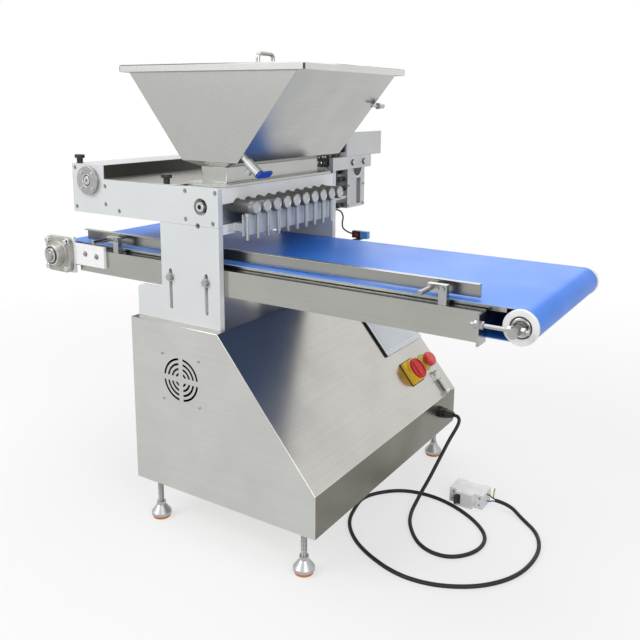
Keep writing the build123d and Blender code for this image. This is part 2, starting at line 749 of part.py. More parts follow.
def cabinet_shell():
    """Folded sheet cabinet with a sloped front, open only at the vent and the control holes."""
    outline = Polygon(
        (CABINET_BACK, CABINET_LIFT),
        (CABINET_FRONT, CABINET_LIFT),
        SLOPE_FOOT,
        SLOPE_HEAD,
        (CABINET_BACK, CABINET_TOP),
        align=None,
    )
    hollow = offset(outline, -SHEET, kind=Kind.INTERSECTION)
    width = CABINET_FAR - CABINET_NEAR
    shell = Pos(0, CABINET_FAR, 0) * extrude(Plane.XZ * outline, width)
    shell -= Pos(0, CABINET_FAR - SHEET, 0) * extrude(Plane.XZ * hollow, width - 2 * SHEET)
    shell -= vent_slots()
    for x, y in foot_centres():
        shell -= bar("z", POST_R + FREE_GAP, (CABINET_LIFT - SHEET, CABINET_LIFT + 2 * SHEET), (x, y))
    through = (-2 * SHEET, SHEET)
    screen = Rectangle(SCREEN_BACK_WIDTH + 2 * FREE_GAP, SCREEN_BACK_HEIGHT + 2 * FREE_GAP)
    shell -= slope_plane(SCREEN_Y, SCREEN_UP) * prism(screen, *through)
    shell -= slope_plane(SWITCH_Y, SWITCH_UP) * prism(Circle(SWITCH_STEM_R + STEM_ROOM), *through)
    shell -= slope_plane(STOP_Y, STOP_UP) * prism(Circle(STOP_STEM_R + STEM_ROOM), *through)
    gland_wall = (CABINET_FRONT - 2 * SHEET, CABINET_FRONT + SHEET)
    return shell - bar("x", GLAND_THREAD_R + FREE_GAP, gland_wall, (GLAND_Y, GLAND_Z))


def foot_posts():
    """Threaded posts with a bell cup and three nuts: on the cup, under the floor sheet and above it."""
    posts = []
    for centre in foot_centres():
        rim_top = PAD_HEIGHT + CUP_RIM
        cup_top = PAD_HEIGHT + CUP_HEIGHT
        post = bar("z", CUP_R, (PAD_HEIGHT, rim_top), centre)
        post += taper("z", CUP_R, CUP_TOP_R, (rim_top, cup_top), centre)
        post += hexagon("z", POST_NUT, (cup_top, cup_top + CUP_NUT_HEIGHT), centre)
        top = CABINET_LIFT + SHEET + POST_NUT_HEIGHT + POST_END
        post += bar("z", POST_R, (cup_top, top), centre)
        post += hexagon("z", POST_NUT, (CABINET_LIFT - POST_NUT_HEIGHT, CABINET_LIFT), centre)
        inside = CABINET_LIFT + SHEET
        post += hexagon("z", POST_NUT, (inside, inside + POST_NUT_HEIGHT), centre)
        posts.append(post)
    return group(*posts)


def foot_pads():
    """Soft pads under the cups, resting on the floor."""
    return group(*[bar("z", PAD_R, (0, PAD_HEIGHT), centre) for centre in foot_centres()])


def fan_corners():
    """X and Z of the four fan screws."""
    half = FAN_HOLE_PITCH / 2
    return [(FAN_X + dx, FAN_Z + dz) for dx in (-half, half) for dz in (-half, half)]


def fan_frame():
    """Square fan housing with a round duct, a motor plate and four arms."""
    near = CABINET_NEAR + SHEET
    span = (near, near + FAN_DEPTH)
    half = FAN_SIZE / 2
    frame = block((FAN_X - half, FAN_X + half), span, (FAN_Z - half, FAN_Z + half))
    frame -= bar("y", FAN_RING_R, span, (FAN_X, FAN_Z))
    arms = (span[1] - FAN_ARM, span[1])
    frame += bar("y", FAN_HUB_R, arms, (FAN_X, FAN_Z))
    wide = FAN_ARM_WIDTH / 2
    frame += block((FAN_X - half, FAN_X + half), arms, (FAN_Z - wide, FAN_Z + wide))
    frame += block((FAN_X - wide, FAN_X + wide), arms, (FAN_Z - half, FAN_Z + half))
    return frame - bar("y", FAN_PIN_R + RUN_FIT, arms, (FAN_X, FAN_Z))


def fan_rotor():
    """Hub with pitched blades and a pin that runs in the motor plate."""
    near = CABINET_NEAR + SHEET + FAN_ROTOR_GAP
    rotor = Cylinder(FAN_HUB_R, FAN_ROTOR_DEPTH)
    blade = Pos(FAN_BLADE_R / 2, 0, 0) * Rot(FAN_BLADE_PITCH, 0, 0)
    blade *= Box(FAN_BLADE_R, FAN_BLADE_CHORD, FAN_BLADE_THICK)
    for index in range(FAN_BLADES):
        rotor += Rot(0, 0, index * 360 / FAN_BLADES) * blade
    rotor += Pos(0, 0, (FAN_ROTOR_DEPTH + FAN_PIN) / 2) * Cylinder(FAN_PIN_R, FAN_PIN)
    return place("y", near + FAN_ROTOR_DEPTH / 2, (FAN_X, FAN_Z)) * rotor


# Uprights, head plates and what ties them together

def upright():
    """Near upright: a post with a longer foot and two slots for the conveyor bolts."""
    back = UPRIGHT_FRONT - UPRIGHT_WIDTH
    foot_back = UPRIGHT_FRONT - UPRIGHT_FOOT_LENGTH
    foot_top = CABINET_TOP + UPRIGHT_FOOT_HEIGHT
    outline = Polygon(
        (foot_back, CABINET_TOP),
        (UPRIGHT_FRONT, CABINET_TOP),
        (UPRIGHT_FRONT, HEAD_BOTTOM),
        (back, HEAD_BOTTOM),
        (back, foot_top),
        (foot_back, foot_top),
        align=None,
    )
    inner = outline.vertices().filter_by(lambda v: abs(v.Y - foot_top) < 1)
    outline = fillet(inner, UPRIGHT_ROUND)
    slot = SlotOverall(SLOT_HIGH - SLOT_LOW, SLOT_WIDTH, rotation=90)
    for x in SLOT_XS:
        outline -= Pos(x, (SLOT_LOW + SLOT_HIGH) / 2) * slot
    outline -= Pos(DOWEL_X, HEAD_BOTTOM) * Circle(DOWEL_R)
    return Pos(0, -PORTAL_HALF, 0) * extrude(Plane.XZ * outline, PLATE)


def head_screw_points():
    """X and Z of the sunk screws in each head plate."""
    rear = HEAD_BACK + SCREW_EDGE
    floor = BLOCK_BOTTOM + FLOOR_THICK / 2
    wall = MID_WALL_BACK + MID_WALL / 2
    block_back = BLOCK_BACK + SCREW_EDGE
    front = UPRIGHT_FRONT - SCREW_EDGE
    return [
        (rear, STEP_TOP - SCREW_EDGE),
        (rear, floor),
        (wall, HEAD_TOP - 2 * SCREW_EDGE),
        (wall, FLOOR_TOP + SCREW_EDGE / 2),
        (FLOOR_SCREW_X, floor),
        (block_back, HEAD_TOP - SCREW_HIGH),
        (block_back, floor),
        (front, HEAD_TOP - SCREW_HIGH),
        ((TIE_BACK + TIE_FRONT) / 2, HEAD_BOTTOM + SCREW_EDGE),
    ]


def head_plate():
    """Near head plate: stepped outline, shaft holes and sunk screw holes."""
    outline = [
        (HEAD_BACK, HEAD_BOTTOM),
        (UPRIGHT_FRONT, HEAD_BOTTOM),
        (UPRIGHT_FRONT, HEAD_TOP),
        (STEP_X, HEAD_TOP),
        (STEP_X, STEP_TOP),
        (HEAD_BACK, STEP_TOP),
    ]
    span = (-PLATE_OUT, -PORTAL_HALF)
    plate = plate_xz(outline, span)
    plate -= bar("y", DRIVE_SHAFT_R + DRIVE_SHAFT_ROOM, span, (DRIVE_X, DRIVE_Z))
    plate -= bar("y", SHAFT_HOLE_R, span, (VALVE_X, VALVE_Z))
    plate -= bar("y", DOWEL_R, span, (DOWEL_X, HEAD_BOTTOM))
    for x, z in head_screw_points():
        plate -= bar("y", SCREW_SINK_R, (-PLATE_OUT, -PLATE_OUT + SCREW_SINK), (x, z))
    plate -= bar("z", KNOB_SCREW_R + RUN_FIT, (STEP_TOP - KNOB_SCREW_DEPTH, STEP_TOP), (KNOB_BACK_X, -KNOB_Y))
    screw_span = (HEAD_TOP - KNOB_SCREW_DEPTH, HEAD_TOP)
    plate -= bar("z", KNOB_SCREW_R + RUN_FIT, screw_span, (KNOB_FRONT_X, -KNOB_Y))
    return plate


def front_plate():
    """Strip above the outlets, notched around their collars."""
    span = (-PORTAL_HALF, PORTAL_HALF)
    strip = block((BLOCK_FRONT, UPRIGHT_FRONT), span, (HEAD_TOP - FRONT_PLATE_HEIGHT, HEAD_TOP))
    for y in station_ys():
        strip -= bar("x", COLLAR_R + FREE_GAP, (BLOCK_FRONT, UPRIGHT_FRONT), (y, VALVE_Z))
    return strip


def rack_window(y, wall):
    """Opening of a cross wall that one rack slides through."""
    half = RACK_WIDTH / 2 + FREE_GAP
    pitch_z = DRIVE_Z - DRIVE_PITCH_R
    return block(wall, (y - half, y + half), (pitch_z - RACK_BODY - FREE_GAP, pitch_z + DRIVE_MODULE))


def head_ties():
    """Floor plate, cross wall with rack windows, tie under the valve block and the front strip."""
    span = (-PORTAL_HALF, PORTAL_HALF)
    floor = block((HEAD_BACK, BLOCK_BACK), span, (BLOCK_BOTTOM, FLOOR_TOP))
    wall_x = (MID_WALL_BACK, MID_WALL_BACK + MID_WALL)
    wall = block(wall_x, span, (FLOOR_TOP, HEAD_TOP))
    for y in (-RACK_Y, RACK_Y):
        wall -= rack_window(y, wall_x)
    tie = block((TIE_BACK, TIE_FRONT), span, (HEAD_BOTTOM - TIE_DROP, BLOCK_BOTTOM))
    return group(floor, wall, tie, front_plate())


def drive_cover():
    """Bent sheet over the drive shaft: back, top and the wall at the step."""
    across = (-PLATE_OUT, PLATE_OUT)
    back = block((HEAD_BACK - COVER_SHEET, HEAD_BACK), across, (HEAD_BOTTOM, STEP_TOP))
    top = block((HEAD_BACK - COVER_SHEET, STEP_X + COVER_SHEET), across, (STEP_TOP, STEP_TOP + COVER_SHEET))
    front = block((STEP_X, STEP_X + COVER_SHEET), across, (HEAD_TOP, STEP_TOP))
    cover = back + top + front
    for y in (-KNOB_Y, KNOB_Y):
        cover -= bar("z", COVER_HOLE_R, (STEP_TOP, STEP_TOP + COVER_SHEET), (KNOB_BACK_X, y))
    return cover


def piston_cover():
    """Flat sheet over the pistons, up to the hopper flange."""
    across = (-PLATE_OUT, PLATE_OUT)
    front = THROAT_X - BASE_HALF - COVER_GAP
    cover = block((STEP_X + COVER_SHEET, front), across, (HEAD_TOP, HEAD_TOP + COVER_SHEET))
    for y in (-KNOB_Y, KNOB_Y):
        cover -= bar("z", COVER_HOLE_R, (HEAD_TOP, HEAD_TOP + COVER_SHEET), (KNOB_FRONT_X, y))
    return cover


def thumb_knob(x, y, seat):
    """T-shaped thumb screw standing on a cover sheet."""
    low = seat + COVER_SHEET + FREE_GAP
    knob = bar("z", KNOB_SCREW_R, (seat - KNOB_SCREW_DEPTH + KNOB_SCREW_END, low), (x, y))
    knob += bar("z", KNOB_STEM_R, (low, low + KNOB_STEM), (x, y))
    bar_low = low + KNOB_STEM
    grip = block(
        (x - KNOB_WIDTH / 2, x + KNOB_WIDTH / 2),
        (y - KNOB_DEPTH / 2, y + KNOB_DEPTH / 2),
        (bar_low, bar_low + KNOB_BAR),
    )
    return knob + fillet(grip.edges().filter_by(Axis.Z), KNOB_DEPTH / 2.5)


def sunk_screws():
    """Socket heads in the holes of the near head plate."""
    screws = []
    for x, z in head_screw_points():
        low = -PLATE_OUT + SCREW_SINK - SCREW_HEAD
        screw = bar("y", SCREW_HEAD_R, (low, low + SCREW_HEAD), (x, z))
        screws.append(screw - hexagon("y", SCREW_SOCKET, (low, low + SCREW_HEAD / 2), (x, z)))
    return group(*screws)


def fan_screws():
    """Heads of the four fan screws on the cabinet wall."""
    span = (CABINET_NEAR - FAN_SCREW_HEAD, CABINET_NEAR)
    return group(*[bar("y", FAN_SCREW_R, span, corner) for corner in fan_corners()])


def latch_base():
    """Plate with two ears that carry the pin of the draw latch, and the keeper that its wire loop holds."""
    frame = slope_plane(LATCH_Y, 0)
    half = LATCH_WIDTH / 2
    base = Pos(0, LATCH_LENGTH / 2, 0) * Rectangle(LATCH_WIDTH, LATCH_LENGTH)
    plate = prism(base, 0, LATCH_PLATE)
    ear_length = LATCH_PIN_UP + LATCH_BARREL_R
    ear = Pos(0, ear_length / 2, 0) * Rectangle(LATCH_EAR, ear_length)
    for x in (-half + LATCH_EAR / 2, half - LATCH_EAR / 2):
        plate += Pos(x, 0, 0) * prism(ear, 0, LATCH_PIN_RISE + LATCH_BARREL_R)
    hole = Pos(-half, LATCH_PIN_UP, LATCH_PIN_RISE) * TURN["x"]
    plate -= hole * extrude(Circle(LATCH_PIN_R + RUN_FIT), LATCH_WIDTH)
    hook_top = LATCH_BAIL - LATCH_WIRE_R - LATCH_KEEPER_GAP
    foot = Pos(0, hook_top - LATCH_KEEPER_FOOT[1] / 2, 0) * Rectangle(*LATCH_KEEPER_FOOT)
    hook = Pos(0, hook_top - LATCH_KEEPER_HOOK[1] / 2, 0) * Rectangle(*LATCH_KEEPER_HOOK)
    keeper = prism(foot, 0, LATCH_PLATE) + prism(hook, LATCH_PLATE, LATCH_KEEPER_RISE)
    return group(frame * plate, frame * keeper)


def frame_screws():
    """Screws of both head plates, the fan screws and the fixed half of the latch."""
    return group(both_sides(sunk_screws()), fan_screws(), latch_base())


# Valve, outlets and measuring cylinders

def valve_block():
    """Block with the spool bore and three ports for every station."""
    across = (-PORTAL_HALF, PORTAL_HALF)
    body = block((BLOCK_BACK, BLOCK_FRONT), across, (BLOCK_BOTTOM, HEAD_TOP))
    body -= bar("y", SPOOL_R + RUN_FIT, across, (VALVE_X, VALVE_Z))
    for y in station_ys():
        body -= bar("x", PORT_R, (BLOCK_BACK, BLOCK_FRONT), (y, VALVE_Z))
        body -= bar("z", PORT_R, (VALVE_Z, HEAD_TOP), (VALVE_X, y))
    return body


def valve_spool():
    """Spool with a T-shaped port per station, a near journal and a far shaft with the actuator pinion."""
    near = -PLATE_OUT + SPOOL_NEAR_END
    axis = (VALVE_X, VALVE_Z)
    spool = bar("y", SPOOL_R, (-SPOOL_HALF, SPOOL_HALF), axis)
    for y in station_ys():
        spool -= bar("z", PORT_R, (VALVE_Z - SPOOL_R, VALVE_Z + SPOOL_R), (VALVE_X, y))
        spool -= bar("x", PORT_R, (VALVE_X - SPOOL_R, VALVE_X), (y, VALVE_Z))
    spool += bar("y", JOURNAL_R, (near, -SPOOL_HALF), axis)
    spool += bar("y", JOURNAL_R, (SPOOL_HALF, PLATE_OUT), axis)
    spool += bar("y", ACT_SHAFT_R, (PLATE_OUT, ACT_FAR - FREE_GAP), axis)
    teeth = Rot(0, 0, 270) * pinion(ACT_MODULE, ACT_TEETH, ACT_PINION)
    return spool + place("y", ACT_PINION_Y, axis) * teeth


def outlet_tubes():
    """Tubes with a collar against the valve block, bored through, with a hole for the nozzle."""
    tubes = []
    for y in station_ys():
        collar_end = BLOCK_FRONT + COLLAR_LENGTH
        piece = bar("x", COLLAR_R, (BLOCK_FRONT, collar_end), (y, VALVE_Z))
        piece += bar("x", OUTLET_R, (collar_end, CAP_FACE - CAP_LENGTH), (y, VALVE_Z))
        piece -= bar("x", OUTLET_BORE, (BLOCK_FRONT, CAP_FACE), (y, VALVE_Z))
        piece -= bar("z", NOZZLE_R + RUN_FIT, (VALVE_Z - 2 * OUTLET_R, VALVE_Z), (NOZZLE_X, y))
        tubes.append(piece)
    return group(*tubes)


def outlet_caps():
    """Screw caps on the tube ends."""
    span = (CAP_FACE - CAP_LENGTH, CAP_FACE)
    caps = []
    for y in station_ys():
        cap = bar("x", CAP_R, span, (y, VALVE_Z))
        caps.append(chamfer(cap.edges().group_by(Axis.X)[-1], CAP_CHAMFER))
    return group(*caps)


def nozzles():
    """Nozzle tubes, each with a boss under its outlet tube."""
    pieces = []
    for y in station_ys():
        centre = (NOZZLE_X, y)
        top = VALVE_Z - OUTLET_BORE
        boss_top = VALVE_Z - OUTLET_R - RUN_FIT
        nozzle = bar("z", NOZZLE_R, (NOZZLE_TIP, top), centre)
        nozzle += bar("z", NOZZLE_BOSS_R, (boss_top - NOZZLE_BOSS, boss_top), centre)
        pieces.append(nozzle - bar("z", NOZZLE_BORE, (NOZZLE_TIP, top), centre))
    return group(*pieces)


def drip_plate():
    """Plate behind the nozzles, with tabs that reach back to the tie."""
    low = HEAD_BOTTOM - TIE_DROP + DRIP_TAB_LIFT
    sheet_x = (DRIP_FRONT - DRIP_SHEET, DRIP_FRONT)
    plate = block(sheet_x, (-DRIP_HALF, DRIP_HALF), (DRIP_LOW, DRIP_TOP))
    for side in (-1, 1):
        edge = sorted((side * DRIP_HALF, side * (DRIP_HALF - DRIP_SHEET)))
        plate += block((TIE_FRONT, DRIP_FRONT), edge, (low, BLOCK_BOTTOM))
        foot = sorted((side * (DRIP_HALF - DRIP_SHEET), side * (DRIP_HALF + DRIP_TAB)))
        plate += block((TIE_FRONT, TIE_FRONT + DRIP_SHEET), foot, (low, BLOCK_BOTTOM))
    return plate


def piston_cylinders():
    """Measuring cylinders behind the valve block."""
    back = BLOCK_BACK - CYLINDER_LENGTH
    pieces = []
    for y in station_ys():
        axis = (y, VALVE_Z)
        cylinder = bar("x", CYLINDER_R, (back, BLOCK_BACK), axis)
        cylinder += bar("x", CYLINDER_FLANGE_R, (BLOCK_BACK - CYLINDER_FLANGE, BLOCK_BACK), axis)
        pieces.append(cylinder - bar("x", PISTON_R + RUN_FIT, (back, BLOCK_BACK), axis))
    return group(*pieces)


def pistons():
    """Pistons with rods through the crossbar and a nut behind it."""
    head = BLOCK_BACK - PISTON_FRONT_GAP
    bar_back = CROSSBAR_FRONT - CROSSBAR_THICK
    pieces = []
    for y in station_ys():
        axis = (y, VALVE_Z)
        piston = bar("x", PISTON_R, (head - PISTON_LENGTH, head), axis)
        piston += bar("x", PISTON_ROD_R, (bar_back - ROD_NUT_HEIGHT, head - PISTON_LENGTH), axis)
        piston += hexagon("x", ROD_NUT, (bar_back - ROD_NUT_HEIGHT, bar_back), axis)
        pieces.append(piston)
    return group(*pieces)


def drive_rack(y):
    """Rack bar from behind the pinion to the crossbar, toothed along its rear part."""
    pitch_z = DRIVE_Z - DRIVE_PITCH_R
    front = CROSSBAR_FRONT - CROSSBAR_THICK
    toothed = (RACK_BACK - DRIVE_X, RACK_BACK + RACK_TOOTHED - DRIVE_X)
    outline = rack_outline(DRIVE_MODULE, toothed, RACK_BODY)
    teeth = Pos(DRIVE_X, y + RACK_WIDTH / 2, pitch_z) * extrude(Plane.XZ * outline, RACK_WIDTH)
    foot_z = pitch_z - 1.2 * DRIVE_MODULE
    half = RACK_WIDTH / 2
    plain = block((RACK_BACK + RACK_TOOTHED, front), (y - half, y + half), (pitch_z - RACK_BODY, foot_z))
    return teeth + plain


def piston_crossbar():
    """Bar that holds every piston rod, with the two racks behind it."""
    x = (CROSSBAR_FRONT - CROSSBAR_THICK, CROSSBAR_FRONT)
    half = CROSSBAR_HEIGHT / 2
    body = block(x, (-CROSSBAR_HALF, CROSSBAR_HALF), (VALVE_Z - half, VALVE_Z + half))
    for y in station_ys():
        body -= bar("x", PISTON_ROD_R, x, (y, VALVE_Z))
    return body + drive_rack(-RACK_Y) + drive_rack(RACK_Y)


def drive_shaft():
    """Shaft across the head with a pinion over each rack; its far end enters the gearbox."""
    axis = (DRIVE_X, DRIVE_Z)
    near = -PLATE_OUT - FLANGE_THICK
    far = PLATE_OUT + FLANGE_THICK + GEARBOX_BORE - FREE_GAP
    shaft = bar("y", DRIVE_SHAFT_R, (near, far), axis)
    teeth = Rot(0, 0, 180) * pinion(DRIVE_MODULE, DRIVE_TEETH, PINION_WIDTH)
    for y in (-RACK_Y, RACK_Y):
        shaft += place("y", y, axis) * teeth
    return shaft


def bearing_flange():
    """Near round flange that carries the drive shaft, with four screw heads."""
    span = (-PLATE_OUT - FLANGE_THICK, -PLATE_OUT)
    flange = tube("y", FLANGE_R, DRIVE_SHAFT_R + RUN_FIT, span, (DRIVE_X, DRIVE_Z))
    reach = FLANGE_SCREW_CIRCLE / sqrt(2)
    for dx in (-reach, reach):
        for dz in (-reach, reach):
            head = (span[0] - FLANGE_SCREW_HEAD, span[0])
            flange += bar("y", FLANGE_SCREW_R, head, (DRIVE_X + dx, DRIVE_Z + dz))
    return flange


def far_bearing_flange():
    """Far round flange, flat where the gearbox is bolted on."""
    span = (PLATE_OUT, PLATE_OUT + FLANGE_THICK)
    return tube("y", FLANGE_R, DRIVE_SHAFT_R + RUN_FIT, span, (DRIVE_X, DRIVE_Z))


def servo_motor():
    """Gearbox on the far flange, motor, encoder cap and its plug."""
    start = PLATE_OUT + FLANGE_THICK
    half = GEARBOX_SIZE / 2
    x = (DRIVE_X - half, DRIVE_X + half)
    z = (DRIVE_Z - half, DRIVE_Z + half)
    gearbox = block(x, (start, start + GEARBOX_LENGTH), z)
    gearbox -= bar("y", DRIVE_SHAFT_R + RUN_FIT, (start, start + GEARBOX_BORE), (DRIVE_X, DRIVE_Z))
    motor_start = start + GEARBOX_LENGTH
    motor_end = motor_start + MOTOR_LENGTH
    motor = block(x, (motor_start, motor_end), z)
    motor = fillet(motor.edges().filter_by(Axis.Y), MOTOR_ROUND)
    cap_x = (x[0] + ENCODER_INSET, x[1] - ENCODER_INSET)
    cap_z = (z[0] + ENCODER_INSET, z[1] - ENCODER_INSET)
    cap = block(cap_x, (motor_end, motor_end + ENCODER_LENGTH), cap_z)
    plug_y = (motor_end - PLUG_SIZE, motor_end)
    plug = block((x[0] - PLUG_SIZE, x[0]), plug_y, (DRIVE_Z - PLUG_SIZE / 2, DRIVE_Z + PLUG_SIZE / 2))
    return group(gearbox, motor, cap, plug)


# Valve actuator, its bracket, the valve box and the air lines

def actuator_body():
    """Actuator block with pinion chamber and rack bore, and in its front a round recess and a window."""
    across = (ACT_NEAR, ACT_FAR)
    axis = (VALVE_X, VALVE_Z)
    body = block((ACT_BACK, ACT_FRONT), across, (ACT_LOW, ACT_TOP))
    body -= bar("y", ACT_SHAFT_R + RUN_FIT, across, axis)
    half = ACT_PINION / 2 + 2 * FREE_GAP
    rack_room = (ACT_LOW + ACT_RACK_ROOM, ACT_TOP - ACT_RACK_ROOM)
    body -= bar("y", ACT_PITCH_R + 2 * ACT_MODULE, (ACT_PINION_Y - half, ACT_PINION_Y + half), axis)
    body -= bar("z", ACT_RACK_R + RUN_FIT, rack_room, (rack_x(), ACT_PINION_Y))
    body -= bar("x", ACT_DISC_R + FREE_GAP, (ACT_FRONT - ACT_DISC, ACT_FRONT), (ACT_DISC_Y, ACT_DISC_Z))
    window = block((ACT_FRONT - WINDOW_DEPTH, ACT_FRONT), WINDOW_Y, WINDOW_Z)
    column = bar("z", COLUMN_R, WINDOW_Z, (ACT_FRONT - COLUMN_BEHIND - COLUMN_R, sum(WINDOW_Y) / 2))
    return body - window + (column & window)


def rack_x():
    """X of the actuator rack's axis, behind the pinion."""
    return VALVE_X - ACT_PITCH_R - ACT_RACK_R + 0.8 * ACT_MODULE


def actuator_rack():
    """Round rack behind the pinion; it stands high at rest and moves down."""
    top = ACT_RACK_TOP
    low = top - ACT_RACK_LENGTH
    rod = bar("z", ACT_RACK_R, (low, top), (rack_x(), ACT_PINION_Y))
    outline = rack_outline(ACT_MODULE, (low - VALVE_Z, top - VALVE_Z), 2 * ACT_RACK_R)
    sketch = Plane(origin=(VALVE_X - ACT_PITCH_R, ACT_PINION_Y, VALVE_Z), x_dir=(0, 0, 1), z_dir=(0, 1, 0))
    teeth = extrude(sketch * outline, ACT_RACK_R, both=True)
    return rod & teeth


def actuator_bracket():
    """Bar in front of the actuator with its foot on the head plate, screws, and two standoffs."""
    low = ACT_TOP - BAR_HEIGHT
    x = (ACT_FRONT, ACT_FRONT + BAR_THICK)
    arm = block(x, (PORTAL_HALF, BAR_FAR), (low, ACT_TOP))
    arm += block(x, (PORTAL_HALF, PLATE_OUT), (HEAD_TOP, low))
    middle = (low + ACT_TOP) / 2
    for y in BAR_SCREW_YS:
        arm += bar("x", BAR_SCREW_R, (x[1], x[1] + SCREW_HEAD), (y, middle))
    posts = [bar("y", STANDOFF_R, (PLATE_OUT, ACT_NEAR), (x, STANDOFF_Z)) for x in STANDOFF_XS]
    return group(arm, *posts)


def valve_box():
    """Sheet box on the actuator that holds the air valve."""
    x = (BOX_BACK, BOX_FRONT)
    y = (BOX_NEAR, BOX_FAR)
    z = (ACT_TOP, ACT_TOP + BOX_HEIGHT)
    inner = [(low + BOX_SHEET, high - BOX_SHEET) for low, high in (x, y, z)]
    return block(x, y, z) - block(*inner)


def air_line(x, port_z):
    """Air tube from a fitting on the actuator up to a fitting on the valve box."""
    box_z = ACT_TOP + BOX_HEIGHT / 2
    port_end = ACT_NEAR - AIR_FITTING_LENGTH
    box_end = BOX_NEAR - AIR_FITTING_LENGTH
    lift = (box_z - port_z) / 3
    points = [
        (x, port_end, port_z),
        (x, port_end - AIR_TURN, port_z + AIR_SAG),
        (x, box_end - AIR_BOW, port_z + lift),
        (x, box_end - AIR_BOW, box_z - lift),
        (x, box_end - AIR_TURN, box_z - AIR_SAG),
        (x, box_end, box_z),
    ]
    pieces = [wire(points, AIR_R)[0]]
    for face, z in ((ACT_NEAR, port_z), (BOX_NEAR, box_z)):
        pieces.append(hexagon("y", AIR_FITTING, (face - AIR_FITTING_LENGTH, face), (x, z)))
    return pieces


def pneumatics():
    """Air valve in the box, its two air lines and the dark disc in the actuator's front."""
    floor = ACT_TOP + BOX_SHEET
    solenoid = block(SOLENOID_X, SOLENOID_Y, (floor, floor + SOLENOID_HEIGHT))
    disc = bar("x", ACT_DISC_R, (ACT_FRONT - ACT_DISC, ACT_FRONT), (ACT_DISC_Y, ACT_DISC_Z))
    lines = [piece for x, port_z in AIR_PORTS for piece in air_line(x, port_z)]
    return group(solenoid, disc, *lines)


# Hopper, lid, drain and probe

def hopper_solid(inset_x, inset_y, lift, throat_inset):
    """Funnel as a full body; the insets shrink it to the hollow inside."""
    neck = (NECK_HALF - inset_x, HOPPER_HALF_Y - inset_y, NECK_Z + lift)
    mouth = (MOUTH_HALF - inset_x, HOPPER_HALF_Y - inset_y, RIM_TOP)
    funnel = frustum(HOPPER_X, neck, mouth)
    throat_half = THROAT_HALF - throat_inset
    throat_half_y = THROAT_HALF_Y - throat_inset
    throat_x = (THROAT_X - throat_half, THROAT_X + throat_half)
    shoulder_low = Pos(THROAT_X, 0, THROAT_TOP + lift) * Rectangle(2 * throat_half, 2 * throat_half_y)
    shoulder_high = Pos(HOPPER_X, 0, NECK_Z + lift) * Rectangle(2 * neck[0], 2 * neck[1])
    shoulder = loft([shoulder_low, shoulder_high], ruled=True)
    throat = block(throat_x, (-throat_half_y, throat_half_y), (HEAD_TOP, THROAT_TOP + lift))
    return funnel + shoulder + throat


def hopper_lip():
    """Outward flange of the rim with a turned-down edge, open at its corners."""
    out_x = MOUTH_HALF + LIP_OUT
    out_y = HOPPER_HALF_Y + LIP_OUT_Y
    x = (HOPPER_X - out_x, HOPPER_X + out_x)
    y = (-out_y, out_y)
    z = (RIM_TOP - LIP_HEIGHT, RIM_TOP)
    lip = block(x, y, z)
    lip -= block((x[0] + SHEET, x[1] - SHEET), (y[0] + SHEET, y[1] - SHEET), (z[0], z[1] - SHEET))
    for corner_x in x:
        for corner_y in y:
            notch = (corner_x - LIP_NOTCH, corner_x + LIP_NOTCH)
            lip -= block(notch, (corner_y - LIP_NOTCH, corner_y + LIP_NOTCH), (z[0], z[1] - SHEET))
    return lip


def hopper():
    """Sheet funnel with its rim, throat and base flange, open from the rim to the valve block."""
    base_x = (THROAT_X - BASE_HALF, THROAT_X + BASE_HALF)
    base = block(base_x, (-BASE_HALF_Y, BASE_HALF_Y), (HEAD_TOP, HEAD_TOP + BASE_THICK))
    body = hopper_solid(0, 0, 0, 0) + hopper_lip() + base
    body -= hopper_solid(WALL_ACROSS, SHEET, SHEET, SHEET)
    probe_wall = (HOPPER_HALF_Y - 2 * SHEET, HOPPER_HALF_Y + SHEET)
    return body - bar("y", PROBE_STEM_R + FREE_GAP, probe_wall, (PROBE_X, PROBE_Z))


def hopper_lid():
    """Flat lid with a locating edge inside the mouth and a loop handle."""
    half_x = MOUTH_HALF + LIP_OUT - LID_INSET
    half_y = HOPPER_HALF_Y + LIP_OUT_Y - LID_INSET
    top = RIM_TOP + LID_SHEET
    lid = block((HOPPER_X - half_x, HOPPER_X + half_x), (-half_y, half_y), (RIM_TOP, top))
    narrowing = LID_LOCATE * WALL_SLANT
    edge_x = MOUTH_HALF - WALL_ACROSS - LID_PLAY - narrowing
    edge_y = HOPPER_HALF_Y - SHEET - LID_PLAY
    edge_z = (RIM_TOP - LID_LOCATE, RIM_TOP)
    ring = block((HOPPER_X - edge_x, HOPPER_X + edge_x), (-edge_y, edge_y), edge_z)
    inner_x = edge_x - LID_SHEET
    inner_y = edge_y - LID_SHEET
    ring -= block((HOPPER_X - inner_x, HOPPER_X + inner_x), (-inner_y, inner_y), edge_z)
    half = HANDLE_LENGTH / 2
    height = RIM_TOP + HANDLE_RISE - HANDLE_R
    path = FilletPolyline(
        (HOPPER_X, -half, top), (HOPPER_X, -half, height), (HOPPER_X, half, height), (HOPPER_X, half, top),
        radius=HANDLE_BEND,
    )
    handle = sweep(Plane(origin=path @ 0, z_dir=path % 0) * Circle(HANDLE_R), path=path)
    return lid + ring + handle


def drain_plane():
    """Plane on the slanted hopper wall: first axis along the belt's width, third outward."""
    x = HOPPER_X + NECK_HALF + (DRAIN_Z - NECK_Z) * WALL_SLANT
    return Plane(origin=(x, DRAIN_Y, DRAIN_Z), x_dir=(0, 1, 0), z_dir=(DRAIN_TURN[0], 0, DRAIN_TURN[1]))


